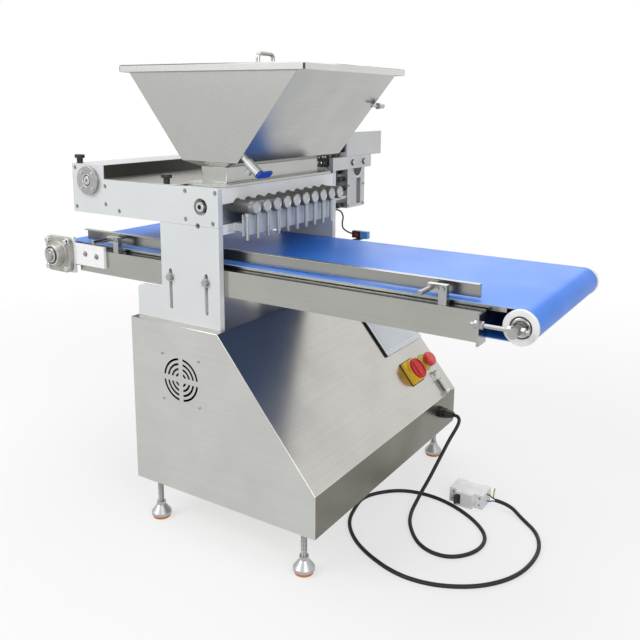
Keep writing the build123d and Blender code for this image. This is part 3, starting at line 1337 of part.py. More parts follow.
def drain_valve():
    """Pipe and plug valve body, square to the wall, with a spout below and a lever bore in its end."""
    valve = prism(Circle(DRAIN_PIPE_R), 0, DRAIN_PIPE)
    valve += prism(Circle(DRAIN_BODY_R), DRAIN_PIPE, DRAIN_BODY_END)
    spout_start = Pos(0, 0, DRAIN_SPOUT_AT) * Rot(90, 0, 0)
    valve += spout_start * prism(Circle(DRAIN_SPOUT_R), 0, DRAIN_SPOUT)
    valve -= prism(Circle(DRAIN_BORE), DRAIN_PIPE / 2, DRAIN_SPOUT_AT)
    valve -= spout_start * prism(Circle(DRAIN_BORE), 0, DRAIN_SPOUT)
    valve -= prism(Circle(DRAIN_STEM_R + RUN_FIT), DRAIN_BODY_END - DRAIN_STEM_DEPTH, DRAIN_BODY_END)
    return drain_plane() * valve


def drain_lever():
    """Flat lever across the end of the valve, on a stem that turns in it."""
    low = DRAIN_BODY_END + DRAIN_LEVER_GAP
    stem = prism(Circle(DRAIN_STEM_R), DRAIN_BODY_END - DRAIN_STEM_DEPTH + FREE_GAP, low)
    blade = Rectangle(DRAIN_LEVER, DRAIN_LEVER_WIDTH)
    blade = fillet(blade.vertices(), DRAIN_LEVER_WIDTH / 2.5)
    blade = Pos(DRAIN_LEVER / 2 - DRAIN_LEVER_WIDTH / 2, 0, 0) * blade
    return drain_plane() * (stem + prism(blade, low, low + DRAIN_LEVER_THICK))


def probe():
    """Temperature probe through the far hopper wall."""
    wall = HOPPER_HALF_Y
    head = hexagon("y", 2 * PROBE_R, (wall, wall + PROBE_NUT), (PROBE_X, PROBE_Z))
    head += bar("y", PROBE_HEAD_R, (wall + PROBE_NUT, wall + PROBE_HEAD), (PROBE_X, PROBE_Z))
    return head + bar("y", PROBE_STEM_R, (wall - PROBE_INSIDE, wall), (PROBE_X, PROBE_Z))


def hopper_fittings():
    """Drain valve and temperature probe."""
    return group(drain_valve(), probe())


# Controls on the slope

def hmi_bezel():
    """Frame of the touch screen with its housing behind the panel."""
    frame = prism(RectangleRounded(SCREEN_WIDTH, SCREEN_HEIGHT, SCREEN_ROUND), 0, SCREEN_PROUD)
    frame -= prism(Rectangle(GLASS_WIDTH, GLASS_HEIGHT), SCREEN_PROUD - GLASS_THICK, SCREEN_PROUD)
    frame += prism(Rectangle(SCREEN_BACK_WIDTH, SCREEN_BACK_HEIGHT), -SCREEN_BACK_DEPTH, 0)
    return slope_plane(SCREEN_Y, SCREEN_UP) * frame


def hmi_screen():
    """Glass of the touch screen, flush in its frame."""
    glass = prism(Rectangle(GLASS_WIDTH, GLASS_HEIGHT), SCREEN_PROUD - GLASS_THICK, SCREEN_PROUD)
    return slope_plane(SCREEN_Y, SCREEN_UP) * glass


def switch_bases():
    """Square base and round collar of the main switch, and round base of the emergency stop."""
    square = prism(RectangleRounded(SWITCH_SIZE, SWITCH_SIZE, SWITCH_ROUND), 0, SWITCH_BASE)
    square += prism(Circle(SWITCH_COLLAR_R), SWITCH_BASE, SWITCH_COLLAR)
    square -= prism(Circle(SWITCH_STEM_R + RUN_FIT), 0, SWITCH_COLLAR)
    ring = prism(Circle(STOP_PLATE_R), 0, STOP_PLATE) + prism(Circle(STOP_COLLAR_R), STOP_PLATE, STOP_COLLAR)
    ring -= prism(Circle(STOP_STEM_R + RUN_FIT), 0, STOP_COLLAR)
    return group(slope_plane(SWITCH_Y, SWITCH_UP) * square, slope_plane(STOP_Y, STOP_UP) * ring)


def switch_knob():
    """Round knob with two finger pockets beside its grip, on a stem through the panel."""
    low = SWITCH_COLLAR + FREE_GAP
    top = low + SWITCH_KNOB
    knob = prism(Circle(SWITCH_KNOB_R), low, top)
    pockets = Circle(SWITCH_POCKET_R) - Rectangle(SWITCH_GRIP_WIDTH, 2 * SWITCH_KNOB_R)
    knob -= prism(pockets, top - SWITCH_POCKET, top)
    knob += prism(Circle(SWITCH_STEM_R), -SHEET, low)
    return slope_plane(SWITCH_Y, SWITCH_UP) * knob


def estop_head():
    """Mushroom head on a stem that slides in the collar."""
    low = STOP_COLLAR + STOP_PUSH + STOP_SPARE
    top = low + STOP_HEAD
    head = prism(Circle(STOP_HEAD_R), low, top)
    head = fillet(head.edges().group_by(Axis.Z)[-1], STOP_HEAD_ROUND)
    head += prism(Circle(STOP_STEM_R), -SHEET, low)
    return slope_plane(STOP_Y, STOP_UP) * head


def latch_lever():
    """Tongue of the draw latch on its pin, with a lip to lift it by and the wire loop for the keeper."""
    half = LATCH_WIDTH / 2
    inner = half - LATCH_EAR - FREE_GAP
    pin_start = Pos(-half, LATCH_PIN_UP, LATCH_PIN_RISE) * TURN["x"]
    lever = pin_start * extrude(Circle(LATCH_PIN_R), LATCH_WIDTH)
    barrel_start = Pos(-inner, LATCH_PIN_UP, LATCH_PIN_RISE) * TURN["x"]
    lever += barrel_start * extrude(Circle(LATCH_BARREL_R), 2 * inner)
    length = LATCH_LENGTH - LATCH_PIN_UP
    width = 2 * inner - LATCH_TONGUE_INSET
    tongue = Pos(0, LATCH_PIN_UP + length / 2, 0) * Rectangle(width, length)
    lever += prism(tongue, LATCH_PIN_RISE, LATCH_PIN_RISE + LATCH_TONGUE)
    lip = Pos(0, LATCH_LENGTH - LATCH_TONGUE / 2, 0) * Rectangle(width, LATCH_TONGUE)
    lever += prism(lip, LATCH_PIN_RISE, LATCH_PIN_RISE + LATCH_HOOK)
    reach = (LATCH_LENGTH - LATCH_TONGUE / 2, LATCH_BAIL)
    sides = (-width / 2 + LATCH_TONGUE, width / 2 - LATCH_TONGUE)
    corners = ((sides[0], reach[0]), (sides[0], reach[1]), (sides[1], reach[1]), (sides[1], reach[0]))
    rise = LATCH_PIN_RISE + LATCH_TONGUE / 2
    lever += wire([(x, y, rise) for x, y in corners], LATCH_WIRE_R)[0]
    return slope_plane(LATCH_Y, 0) * lever


def control_gear():
    """Contact blocks behind the switches, and the power supply, servo drive and relays on the back wall."""
    gear = []
    for y, up in ((SWITCH_Y, SWITCH_UP), (STOP_Y, STOP_UP)):
        contact = prism(Rectangle(CONTACT_BLOCK, CONTACT_BLOCK), -CONTACT_DEPTH, -SHEET)
        stem_room = prism(Circle(STOP_STEM_R + STEM_ROOM), -2 * SHEET - STOP_PUSH, -SHEET)
        gear.append(slope_plane(y, up) * (contact - stem_room))
    back = CABINET_BACK + SHEET
    face = back + GEAR_PLATE
    gear.append(block((back, face), GEAR_PLATE_Y, GEAR_PLATE_Z))
    for across, (low, high), depth in (POWER_SUPPLY, SERVO_DRIVE, RELAYS):
        gear.append(block((face, face + depth), across, (GEAR_ROW + low, GEAR_ROW + high)))
    return group(*gear)


# Mains entry, cord and breaker

def cable_gland():
    """Nut on the wall, body, tapered boot and the thread inside, bored for the cord."""
    axis = (GLAND_Y, GLAND_Z)
    nut_end = CABINET_FRONT + GLAND_NUT_LENGTH
    body_end = nut_end + GLAND_BODY
    gland = hexagon("x", GLAND_NUT, (CABINET_FRONT, nut_end), axis)
    gland += bar("x", GLAND_BODY_R, (nut_end, body_end), axis)
    gland += taper("x", BOOT_R, BOOT_TIP_R, (body_end, BOOT_END), axis)
    return gland + bar("x", GLAND_THREAD_R, (CABINET_FRONT - GLAND_INSIDE, CABINET_FRONT), axis)


def supply_cord():
    """Cord from the boot over the floor to the breaker."""
    cord, path, radii = wire(CORD_POINTS, CORD_R)
    expected = pi * CORD_R**2 * path.length
    print(f"cord length {path.length:.0f} mm, volume ratio {cord.volume / expected:.4f}")
    print("cord radii " + " ".join(f"{radius:.0f}" for radius in radii))
    return cord


def terminal_heights():
    """Z of the two poles of the breaker as it lies on its side."""
    return (BREAKER_HEIGHT / 4, BREAKER_HEIGHT * 3 / 4)


def breaker_body():
    """Two-pole breaker on its side: stepped front, rail groove at the back, terminals and toggle slot."""
    x0, x1 = BREAKER_X
    n0, n1 = BREAKER_NOSE_X
    outline = Polygon(
        (x0, BREAKER_BACK_Y), (x0, BREAKER_SHOULDER_Y), (n0, BREAKER_SHOULDER_Y), (n0, BREAKER_NOSE_Y),
        (n1, BREAKER_NOSE_Y), (n1, BREAKER_SHOULDER_Y), (x1, BREAKER_SHOULDER_Y), (x1, BREAKER_BACK_Y),
        align=None,
    )
    body = extrude(outline, BREAKER_HEIGHT)
    middle = (x0 + x1) / 2
    rail = (middle - BREAKER_RAIL / 2, middle + BREAKER_RAIL / 2)
    body -= block(rail, (BREAKER_BACK_Y - BREAKER_RAIL_DEPTH, BREAKER_BACK_Y), (0, BREAKER_HEIGHT))
    for z in terminal_heights():
        for x in (x0 + TERMINAL_INSET, x1 - TERMINAL_INSET):
            hole = (BREAKER_SHOULDER_Y, BREAKER_SHOULDER_Y + TERMINAL_DEPTH)
            body -= bar("y", TERMINAL_R, hole, (x, z))
        for entry in ((x0, x0 + CORE_ENTRY_DEPTH), (x1 - CORE_ENTRY_DEPTH, x1)):
            body -= bar("x", CORE_ENTRY_R, entry, (CORE_Y, z))
    low = (BREAKER_HEIGHT - TOGGLE_SLOT) / 2
    slot = (low - FREE_GAP, low + TOGGLE_SLOT + FREE_GAP)
    body -= bar("z", TOGGLE_R + FREE_GAP, slot, (TOGGLE_X, toggle_y()))
    return body


def toggle_y():
    """Y of the toggle's pivot, just inside the nose."""
    return BREAKER_NOSE_Y + TOGGLE_DEPTH


def breaker_toggle():
    """Barrel with a lever that reaches out of the nose, tilted to its off side."""
    low = (BREAKER_HEIGHT - TOGGLE_SLOT) / 2
    height = (low, low + TOGGLE_SLOT)
    lever = block((-TOGGLE_THICK / 2, TOGGLE_THICK / 2), (-TOGGLE_LEVER, 0), height)
    toggle = bar("z", TOGGLE_R, height, (0, 0)) + Rot(0, 0, -TOGGLE_TILT) * lever
    return Pos(TOGGLE_X, toggle_y(), 0) * toggle


def supply_cores():
    """Two cores from the end of the cord into the breaker and one that stands free."""
    end_x, end_y, end_z = CORD_POINTS[-1]
    entry_x = BREAKER_X[1] - CORE_ENTRY_DEPTH + CORE_END_GAP
    cores = []
    for z, side in zip(terminal_heights(), (-1, 1)):
        points = [
            (end_x, end_y, end_z + side * CORE_SPREAD),
            (end_x - CORE_STRAIGHT, end_y, end_z + side * CORE_SPREAD),
            (BREAKER_X[1] + CORE_STRAIGHT, CORE_Y, z),
            (entry_x, CORE_Y, z),
        ]
        cores.append(wire(points, CORE_R)[0])
    earth_y = end_y + CORE_SPREAD
    earth = [
        (end_x, earth_y, end_z),
        (end_x - CORE_STRAIGHT, earth_y, end_z),
        (end_x - CORE_STRAIGHT - 3, earth_y + 10, end_z + 12),
        (end_x - CORE_STRAIGHT - 2, earth_y + 14, end_z + 22),
    ]
    cores.append(wire(earth, CORE_R)[0])
    return group(*cores)


# Conveyor

def conveyor_rail():
    """Near side rail: a channel open toward the belt."""
    x = (RAIL_BACK, RAIL_FRONT)
    rail = block(x, (-RAIL_OUT, -RAIL_OUT + RAIL_FLANGE), (RAIL_LOW, RAIL_TOP))
    hollow = (-RAIL_OUT + RAIL_WEB, -RAIL_OUT + RAIL_FLANGE)
    rail -= block(x, hollow, (RAIL_LOW + RAIL_WEB, RAIL_TOP - RAIL_WEB))
    for slot_x in SLOT_XS:
        hole = (-RAIL_OUT, -RAIL_OUT + RAIL_WEB)
        rail -= bar("y", SLOT_BOLT_R, hole, (slot_x, BELT_TOP - SLOT_BOLT_DROP))
    return rail


def stadium(radius):
    """Outline around both rollers at a radius from their axes, in X and Z."""
    middle = (IDLER_X + BELT_DRIVE_X) / 2
    return Pos(middle, AXLE_Z) * SlotCenterToCenter(IDLER_X - BELT_DRIVE_X, 2 * radius)


def belt():
    """Closed belt around both rollers."""
    loop = stadium(BELT_BEND + BELT_THICK) - stadium(BELT_BEND)
    return Pos(0, BELT_HALF, 0) * extrude(Plane.XZ * loop, 2 * BELT_HALF)


def belt_bed():
    """Folded tray under the carrying run, on cross bars between the rails."""
    top = BELT_TOP - BELT_THICK - FREE_GAP
    x = (BELT_DRIVE_X + BELT_BEND + BED_END_GAP, IDLER_X - BELT_BEND - BED_END_GAP)
    cross_top = RAIL_TOP - RAIL_WEB
    tray = block(x, (-BED_HALF, BED_HALF), (cross_top, top))
    tray -= block(x, (-BED_HALF + BED_THICK, BED_HALF - BED_THICK), (cross_top, top - BED_THICK))
    reach = RAIL_OUT - RAIL_WEB
    bars = []
    step = (CROSS_LAST - CROSS_FIRST) / (CROSS_BARS - 1)
    for middle in [CROSS_FIRST + index * step for index in range(CROSS_BARS)]:
        width = (middle - CROSS_WIDTH / 2, middle + CROSS_WIDTH / 2)
        bars.append(block(width, (-reach, reach), (cross_top - CROSS_HEIGHT, cross_top)))
    return group(tray, *bars)


def drive_bracket():
    """Near bracket plate on the rail that carries the drive bearing."""
    half = BEARING_SIZE / 2 + BRACKET_MARGIN
    y = (-RAIL_OUT - BRACKET, -RAIL_OUT)
    head = (BELT_DRIVE_X - half, BELT_DRIVE_X + half)
    plate = block(head, y, (AXLE_Z - half, AXLE_Z + half))
    plate += block((BELT_DRIVE_X, BRACKET_FRONT), y, (BRACKET_ARM_LOW, BELT_TOP))
    plate -= bar("y", BELT_SHAFT_R + BELT_SHAFT_ROOM, y, (BELT_DRIVE_X, AXLE_Z))
    for place_xz in DOME_BOLTS:
        plate += taper("y", DOME_BOLT_R / 2, DOME_BOLT_R, (y[0] - DOME_BOLT, y[0]), place_xz)
    return plate


def roller_bearing():
    """Near square flange bearing with a round housing and four bolts."""
    base = -RAIL_OUT - BRACKET
    half = BEARING_SIZE / 2
    flange_end = base - BEARING_FLANGE
    axis = (BELT_DRIVE_X, AXLE_Z)
    flange = block((axis[0] - half, axis[0] + half), (flange_end, base), (axis[1] - half, axis[1] + half))
    flange = fillet(flange.edges().filter_by(Axis.Y), BEARING_ROUND)
    flange += taper("y", BEARING_TIP_R, BEARING_R, (flange_end - BEARING_DOME, flange_end), axis)
    reach = BEARING_PITCH / 2
    for dx in (-reach, reach):
        for dz in (-reach, reach):
            bolt = (flange_end - BEARING_BOLT_HEAD, flange_end)
            flange += hexagon("y", BEARING_BOLT, bolt, (axis[0] + dx, axis[1] + dz))
    return flange - bar("y", BELT_SHAFT_R + RUN_FIT, (flange_end - BEARING_DOME, base), axis)


def drive_roller():
    """Drive roller with its shaft, out of the near bearing and into the gear motor."""
    axis = (BELT_DRIVE_X, AXLE_Z)
    roller = bar("y", ROLLER_R, (-ROLLER_HALF, ROLLER_HALF), axis)
    return roller + bar("y", BELT_SHAFT_R, (-NEAR_REACH, WORM_NEAR + WORM_WIDTH - 2 * WORM_WALL), axis)


def conveyor_motor():
    """Worm gearbox on the far end of the drive shaft, motor along the rail and a terminal box."""
    y = (WORM_NEAR, WORM_NEAR + WORM_WIDTH)
    axis = (BELT_DRIVE_X, AXLE_Z)
    half = WORM_HEIGHT / 2
    worm = block((WORM_BACK, WORM_FRONT), y, (AXLE_Z - half, AXLE_Z + half))
    worm = fillet(worm.edges().filter_by(Axis.Y), WORM_ROUND)
    worm -= bar("y", BELT_SHAFT_R + RUN_FIT, (y[0], y[1] - WORM_WALL), axis)
    middle = sum(y) / 2
    end = WORM_FRONT + WORM_MOTOR
    motor = bar("x", WORM_MOTOR_R, (WORM_FRONT, end), (middle, AXLE_Z))
    box = WORM_TERMINAL / 2
    box_x = (WORM_TERMINAL_X, WORM_TERMINAL_X + WORM_TERMINAL)
    terminal = block(box_x, (middle - box, middle + box), (AXLE_Z - WORM_TERMINAL_DROP, AXLE_Z))
    return group(worm, motor + terminal)


def idler_roller():
    """White idler with end flanges beside the belt and a bore for the fixed shaft."""
    axis = (IDLER_X, AXLE_Z)
    roller = bar("y", ROLLER_R, (-ROLLER_HALF, ROLLER_HALF), axis)
    for side in (-1, 1):
        flange = sorted((side * ROLLER_HALF, side * (ROLLER_HALF - IDLER_FLANGE)))
        roller += bar("y", IDLER_FLANGE_R, flange, axis)
        dish = sorted((side * ROLLER_HALF, side * (ROLLER_HALF - IDLER_DISH)))
        roller -= bar("y", IDLER_BEARING_R, dish, axis)
    return roller - bar("y", IDLER_SHAFT_R + RUN_FIT, (-ROLLER_HALF, ROLLER_HALF), axis)


def tension_rod():
    """Near rod with nuts, from the ear plate on the rail's end through the idler shaft."""
    axis = (-TENSION_Y, AXLE_Z)
    plate_x = (RAIL_FRONT, RAIL_FRONT + TENSION_PLATE)
    shaft_x = (IDLER_X - IDLER_SHAFT_R, IDLER_X + IDLER_SHAFT_R)
    reach = (plate_x[0] - 2 * TENSION_NUT_HEIGHT, shaft_x[1] + 2 * TENSION_NUT_HEIGHT)
    rod = bar("x", TENSION_ROD_R, reach, axis)
    for start in (plate_x[0] - TENSION_NUT_HEIGHT, plate_x[1], shaft_x[0] - TENSION_NUT_HEIGHT, shaft_x[1]):
        rod += hexagon("x", TENSION_NUT, (start, start + TENSION_NUT_HEIGHT), axis)
    ear_y = (-TENSION_Y - TENSION_EAR, -BELT_HALF - POST_GAP)
    ear = block(plate_x, ear_y, (RAIL_LOW, RAIL_TOP)) - bar("x", TENSION_ROD_R, plate_x, axis)
    return group(rod, ear)


def idler_shaft():
    """Fixed idler shaft with a cross hole for either tension rod."""
    half = ROLLER_HALF + IDLER_SHAFT_OUT
    shaft = bar("y", IDLER_SHAFT_R, (-half, half), (IDLER_X, AXLE_Z))
    for y in (-TENSION_Y, TENSION_Y):
        shaft -= bar("x", TENSION_ROD_R, (IDLER_X - IDLER_SHAFT_R, IDLER_X + IDLER_SHAFT_R), (y, AXLE_Z))
    return shaft


def slot_bolt(x):
    """Near bolt of the height slot: head and washer outside the upright, shank into the rail."""
    z = BELT_TOP - SLOT_BOLT_DROP
    face = -PLATE_OUT - FREE_GAP
    washer = face - SLOT_WASHER
    bolt = bar("y", SLOT_BOLT_R, (face, -RAIL_OUT + RAIL_WEB), (x, z))
    bolt += bar("y", SLOT_WASHER_R, (washer, face), (x, z))
    return bolt + hexagon("y", SLOT_HEAD, (washer - SLOT_HEAD_HEIGHT, washer), (x, z))


def guide_post(x):
    """Near post on the rail, with a head that reaches to the guide rod beside it and two clamp screws."""
    y = (-RAIL_OUT + RAIL_WEB, -BELT_HALF - POST_GAP)
    middle = x + POST_OFFSET
    head = (GUIDE_ROD_Z - POST_HEAD / 2, GUIDE_ROD_Z + POST_HEAD / 2)
    post = block((middle - POST_WIDTH / 2, middle + POST_WIDTH / 2), y, (RAIL_TOP, head[1]))
    post += block((x - POST_HEAD / 2, middle), y, head)
    for screw_x in ((x + middle) / 2, middle):
        post += bar("y", POST_SCREW_R, (y[0] - POST_SCREW, y[0]), (screw_x, GUIDE_ROD_Z))
    return post - bar("y", GUIDE_ROD_R + RUN_FIT, y, (x, GUIDE_ROD_Z))


def conveyor_hardware():
    """Idler shaft, tension rods and height bolts on both sides, and the posts of the near guide."""
    sides = both_sides(group(tension_rod(), *[slot_bolt(x) for x in SLOT_XS]))
    return group(idler_shaft(), sides, *[guide_post(x) for x in GUIDE_XS])


def guide_near():
    """Near side guide: a web beside the moulds with an outward top flange and two rods."""
    low = BELT_TOP + GUIDE_LIFT
    top = low + GUIDE_HEIGHT
    x = (GUIDE_BACK, GUIDE_FRONT)
    guide = block(x, (-GUIDE_Y - SHEET, -GUIDE_Y), (low, top))
    guide += block(x, (-GUIDE_Y - GUIDE_FLANGE, -GUIDE_Y), (top - SHEET, top))
    for rod_x in GUIDE_XS:
        guide += bar("y", GUIDE_ROD_R, (-GUIDE_ROD_OUT, -GUIDE_Y - SHEET), (rod_x, GUIDE_ROD_Z))
    return guide


def photo_sensor():
    """Sensor on an arm from the far rail, with a looped lead to a plug beside the far upright."""
    arm_top = SENSOR_Z[0]
    middle = sum(SENSOR_X) / 2
    width = (middle - SENSOR_ARM_WIDTH / 2, middle + SENSOR_ARM_WIDTH / 2)
    arm = block(width, (RAIL_OUT, SENSOR_Y[1]), (arm_top - SENSOR_ARM, arm_top))
    arm += block(width, (RAIL_OUT, RAIL_OUT + SENSOR_ARM), (arm_top - SENSOR_DROP, arm_top))
    head = block(SENSOR_X, SENSOR_Y, SENSOR_Z)
    lead_y = sum(SENSOR_Y) / 2
    lead_z = sum(SENSOR_Z) / 2
    end_x = UPRIGHT_FRONT - 20
    end_y = PLATE_OUT + PLUG_LIFT
    end_z = BELT_TOP + 66
    points = [
        (SENSOR_X[0], lead_y, lead_z),
        (SENSOR_X[0] - 14, lead_y - 5, lead_z + 4),
        (UPRIGHT_FRONT, lead_y - 14, lead_z + 14),
        (UPRIGHT_FRONT + 3, lead_y - 22, lead_z + 30),
        (UPRIGHT_FRONT + 11, end_y + 13, lead_z + 48),
        (UPRIGHT_FRONT + 7, end_y + 7, end_z - 4),
        (UPRIGHT_FRONT - 6, end_y, end_z),
        (end_x, end_y, end_z),
    ]
    plug = bar("x", PLUG_R, (end_x - PLUG_LENGTH, end_x), (end_y, end_z))
    return group(arm, head, wire(points, LEAD_R)[0], plug)


NODES = {
    "cabinet_shell": cabinet_shell,
    "foot_posts": foot_posts,
    "foot_pads": foot_pads,
    "fan_frame": fan_frame,
    "fan_rotor": fan_rotor,
    "uprights": lambda: both_sides(upright()),
    "head_plates": lambda: both_sides(head_plate()),
    "head_ties": head_ties,
    "drive_cover": drive_cover,
    "piston_cover": piston_cover,
    "knob_back_near": lambda: thumb_knob(KNOB_BACK_X, -KNOB_Y, STEP_TOP),
    "knob_back_far": lambda: thumb_knob(KNOB_BACK_X, KNOB_Y, STEP_TOP),
    "knob_front_near": lambda: thumb_knob(KNOB_FRONT_X, -KNOB_Y, HEAD_TOP),
    "knob_front_far": lambda: thumb_knob(KNOB_FRONT_X, KNOB_Y, HEAD_TOP),
    "frame_screws": frame_screws,
    "valve_block": valve_block,
    "valve_spool": valve_spool,
    "outlet_tubes": outlet_tubes,
    "outlet_caps": outlet_caps,
    "nozzles": nozzles,
    "drip_plate": drip_plate,
    "piston_cylinders": piston_cylinders,
    "pistons": pistons,
    "piston_crossbar": piston_crossbar,
    "drive_shaft": drive_shaft,
    "shaft_bearings": lambda: group(bearing_flange(), far_bearing_flange()),
    "servo_motor": servo_motor,
    "actuator_body": actuator_body,
    "actuator_rack": actuator_rack,
    "actuator_bracket": actuator_bracket,
    "valve_box": valve_box,
    "pneumatics": pneumatics,
    "hopper": hopper,
    "hopper_lid": hopper_lid,
    "hopper_fittings": hopper_fittings,
    "drain_lever": drain_lever,
    "hmi_bezel": hmi_bezel,
    "hmi_screen": hmi_screen,
    "switch_bases": switch_bases,
    "switch_knob": switch_knob,
    "estop_head": estop_head,
    "latch_lever": latch_lever,
    "control_gear": control_gear,
    "cable_gland": cable_gland,
    "supply_cord": supply_cord,
    "supply_cores": supply_cores,
    "breaker_body": breaker_body,
    "breaker_toggle": breaker_toggle,
    "conveyor_rails": lambda: both_sides(conveyor_rail()),
    "belt": belt,
    "belt_bed": belt_bed,
    "drive_brackets": lambda: both_sides(drive_bracket()),
    "roller_bearings": lambda: both_sides(roller_bearing()),
    "conveyor_motor": conveyor_motor,
    "conveyor_hardware": conveyor_hardware,
    "drive_roller": drive_roller,
    "idler_roller": idler_roller,
    "guide_near": guide_near,
    "photo_sensor": photo_sensor,
}

os.makedirs("parts", exist_ok=True)
for node, build in NODES.items():
    export_step(Pos(0, MIDDLE_SHIFT, 0) * build(), f"parts/{node}.step")
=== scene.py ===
"""Looks of a table-size piston filling machine with a belt conveyor.

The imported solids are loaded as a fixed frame. Each class dresses one sub-assembly: it rounds the edges of
the solids that show, adds the small parts that the solids leave plain, and gives every piece a finish.
Meshes are in metres. The sizes of the sub-assemblies, the profiles of turned parts and the roundings are in
millimetres, with Y counted from the belt's middle plane.
"""

import json
import logging
import math
from abc import ABC, abstractmethod
from dataclasses import dataclass, field
from enum import Enum
from typing import Callable, Sequence

import bmesh
import bpy
from mathutils import Euler, Matrix, Vector

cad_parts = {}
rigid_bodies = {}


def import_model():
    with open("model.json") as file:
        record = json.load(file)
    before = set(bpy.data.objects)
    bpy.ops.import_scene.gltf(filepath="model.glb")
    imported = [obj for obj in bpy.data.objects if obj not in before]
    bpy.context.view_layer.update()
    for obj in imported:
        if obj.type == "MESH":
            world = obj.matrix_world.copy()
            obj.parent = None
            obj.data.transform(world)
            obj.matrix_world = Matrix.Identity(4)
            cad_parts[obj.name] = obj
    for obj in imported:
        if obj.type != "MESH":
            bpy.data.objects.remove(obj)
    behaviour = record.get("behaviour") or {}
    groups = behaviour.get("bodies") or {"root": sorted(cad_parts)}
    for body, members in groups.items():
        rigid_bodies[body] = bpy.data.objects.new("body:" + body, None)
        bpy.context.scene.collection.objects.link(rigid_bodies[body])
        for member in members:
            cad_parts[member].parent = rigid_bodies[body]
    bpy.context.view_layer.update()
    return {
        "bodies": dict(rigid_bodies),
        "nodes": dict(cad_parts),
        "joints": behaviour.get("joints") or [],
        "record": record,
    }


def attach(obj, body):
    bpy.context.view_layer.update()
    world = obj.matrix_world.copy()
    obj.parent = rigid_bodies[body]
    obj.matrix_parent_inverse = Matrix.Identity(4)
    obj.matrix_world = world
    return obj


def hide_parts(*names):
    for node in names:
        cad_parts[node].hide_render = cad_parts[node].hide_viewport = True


LOG = logging.getLogger("filling_machine")

MILLI = 0.001
BELT_MIDDLE_MM = -103.0  # the belt's middle plane in the shared frame
MERGE_DISTANCE = 2e-6
FLAT_ANGLE = math.radians(0.5)
HARD_ANGLE = math.radians(28)
STEP_WIDTH = 0.014  # widest flat step of a curved surface
STRIP_MARK = 1  # material place that marks the rounding strips while a piece is made
FLUTE_DEPTH = 0.4
EDGE_WEAR = "edge_wear"
WORN_METAL = (0.85, 0.85, 0.83, 1.0)
CLOUD_SPAN = (0.35, 0.65)
NOISE_SPAN = (0.3, 0.7)
ROUGHNESS_SPREAD = (0.88, 1.14)
WEAR_SPREAD = (1.0, 0.3)
COAT_ROUGHNESS = 0.12
BOTH_SIDES = (-1, 1)
ORIGIN = Vector()
SLOPE_NORMAL = (0.7667, 0.0, 0.642)  # way that the cabinet's sloped front looks
MOSTLY = 0.7  # least cosine between an axis and a face that looks along it
STRAIGHT = 0.9  # the same for a face that looks nearly straight along it

Pair = tuple[float, float]
Triple = tuple[float, float, float]
Rgba = tuple[float, float, float, float]
Home = tuple[str, str]  # a body and a material slot
Painter = Callable[[Vector, Vector], int]  # a face's place among the finishes, from its centre and direction
Chooser = Callable[[Vector], bool]  # whether a face is taken over, from its centre
Socket = bpy.types.NodeSocket
Mesh = bpy.types.Mesh
Piece = bpy.types.Object

ON_MACHINE: Home = ("machine", "machined_steel")


def at(x: float, y: float, z: float) -> Vector:
    """Point given in millimetres about the belt's middle plane, as metres in the shared frame."""
    return Vector((x, y + BELT_MIDDLE_MM, z)) * MILLI


def linear(colour: Triple) -> Rgba:
    """Display colour with channels from 0 to 255 as linear light, by the standard curve of screens.

    Args:
        colour: Red, green and blue as a screen shows them.

    Returns:
        Linear red, green, blue and a full alpha.
    """
    shares = [channel / 255 for channel in colour]
    light = [share / 12.92 if share <= 0.04045 else ((share + 0.055) / 1.055) ** 2.4 for share in shares]
    return (*light, 1.0)


def grey(level: float) -> Rgba:
    """Grey of one linear level, from black at 0 to white at 1, with a full alpha."""
    return (level, level, level, 1.0)


class Grain(Enum):
    """Direction of the brush lines of a sheet, as texture scales along X, Y and Z per metre."""

    ALONG_X = (4.0, 210.0, 210.0)
    ALONG_Y = (210.0, 4.0, 210.0)
    TURNED = (210.0, 210.0, 210.0)


class Facing(Enum):
    """Way that a small part points, as the turn that brings it there from pointing up."""

    UP = (0.0, 0.0, 0.0)
    TO_NEAR = (math.pi / 2, 0.0, 0.0)
    TO_FAR = (-math.pi / 2, 0.0, 0.0)
    TO_FRONT = (0.0, math.pi / 2, 0.0)
    OUT_OF_SLOPE = (0.0, math.atan2(SLOPE_NORMAL[0], SLOPE_NORMAL[2]), 0.0)


class NodeWriter:
    """Short calls to add nodes to a tree and join them."""

    prefix: str = ""

    def __init__(self, tree: bpy.types.NodeTree) -> None:
        """Write into a tree."""
        self.tree = tree

    def feed(self, socket: Socket, value: object) -> None:
        """Join an output to an input socket, or give the input a fixed value.

        Args:
            socket: Input socket.
            value: Output socket or plain value.
        """
        if isinstance(value, Socket):
            self.tree.links.new(value, socket)
        else:
            socket.default_value = value

    def add(self, kind: str, *values: object, **inputs: object) -> bpy.types.Node:
        """Add a node and set or join its inputs.

        Args:
            kind: Type name of the node without the prefix.
            *values: Values or output sockets for its first inputs, in order.
            **inputs: Values or output sockets by input name, with underscores for spaces.

        Returns:
            The new node.
        """
        node = self.tree.nodes.new(self.prefix + kind)
        for socket, value in zip(node.inputs, values):
            self.feed(socket, value)
        for name, value in inputs.items():
            self.feed(node.inputs[name.replace("_", " ")], value)
        return node


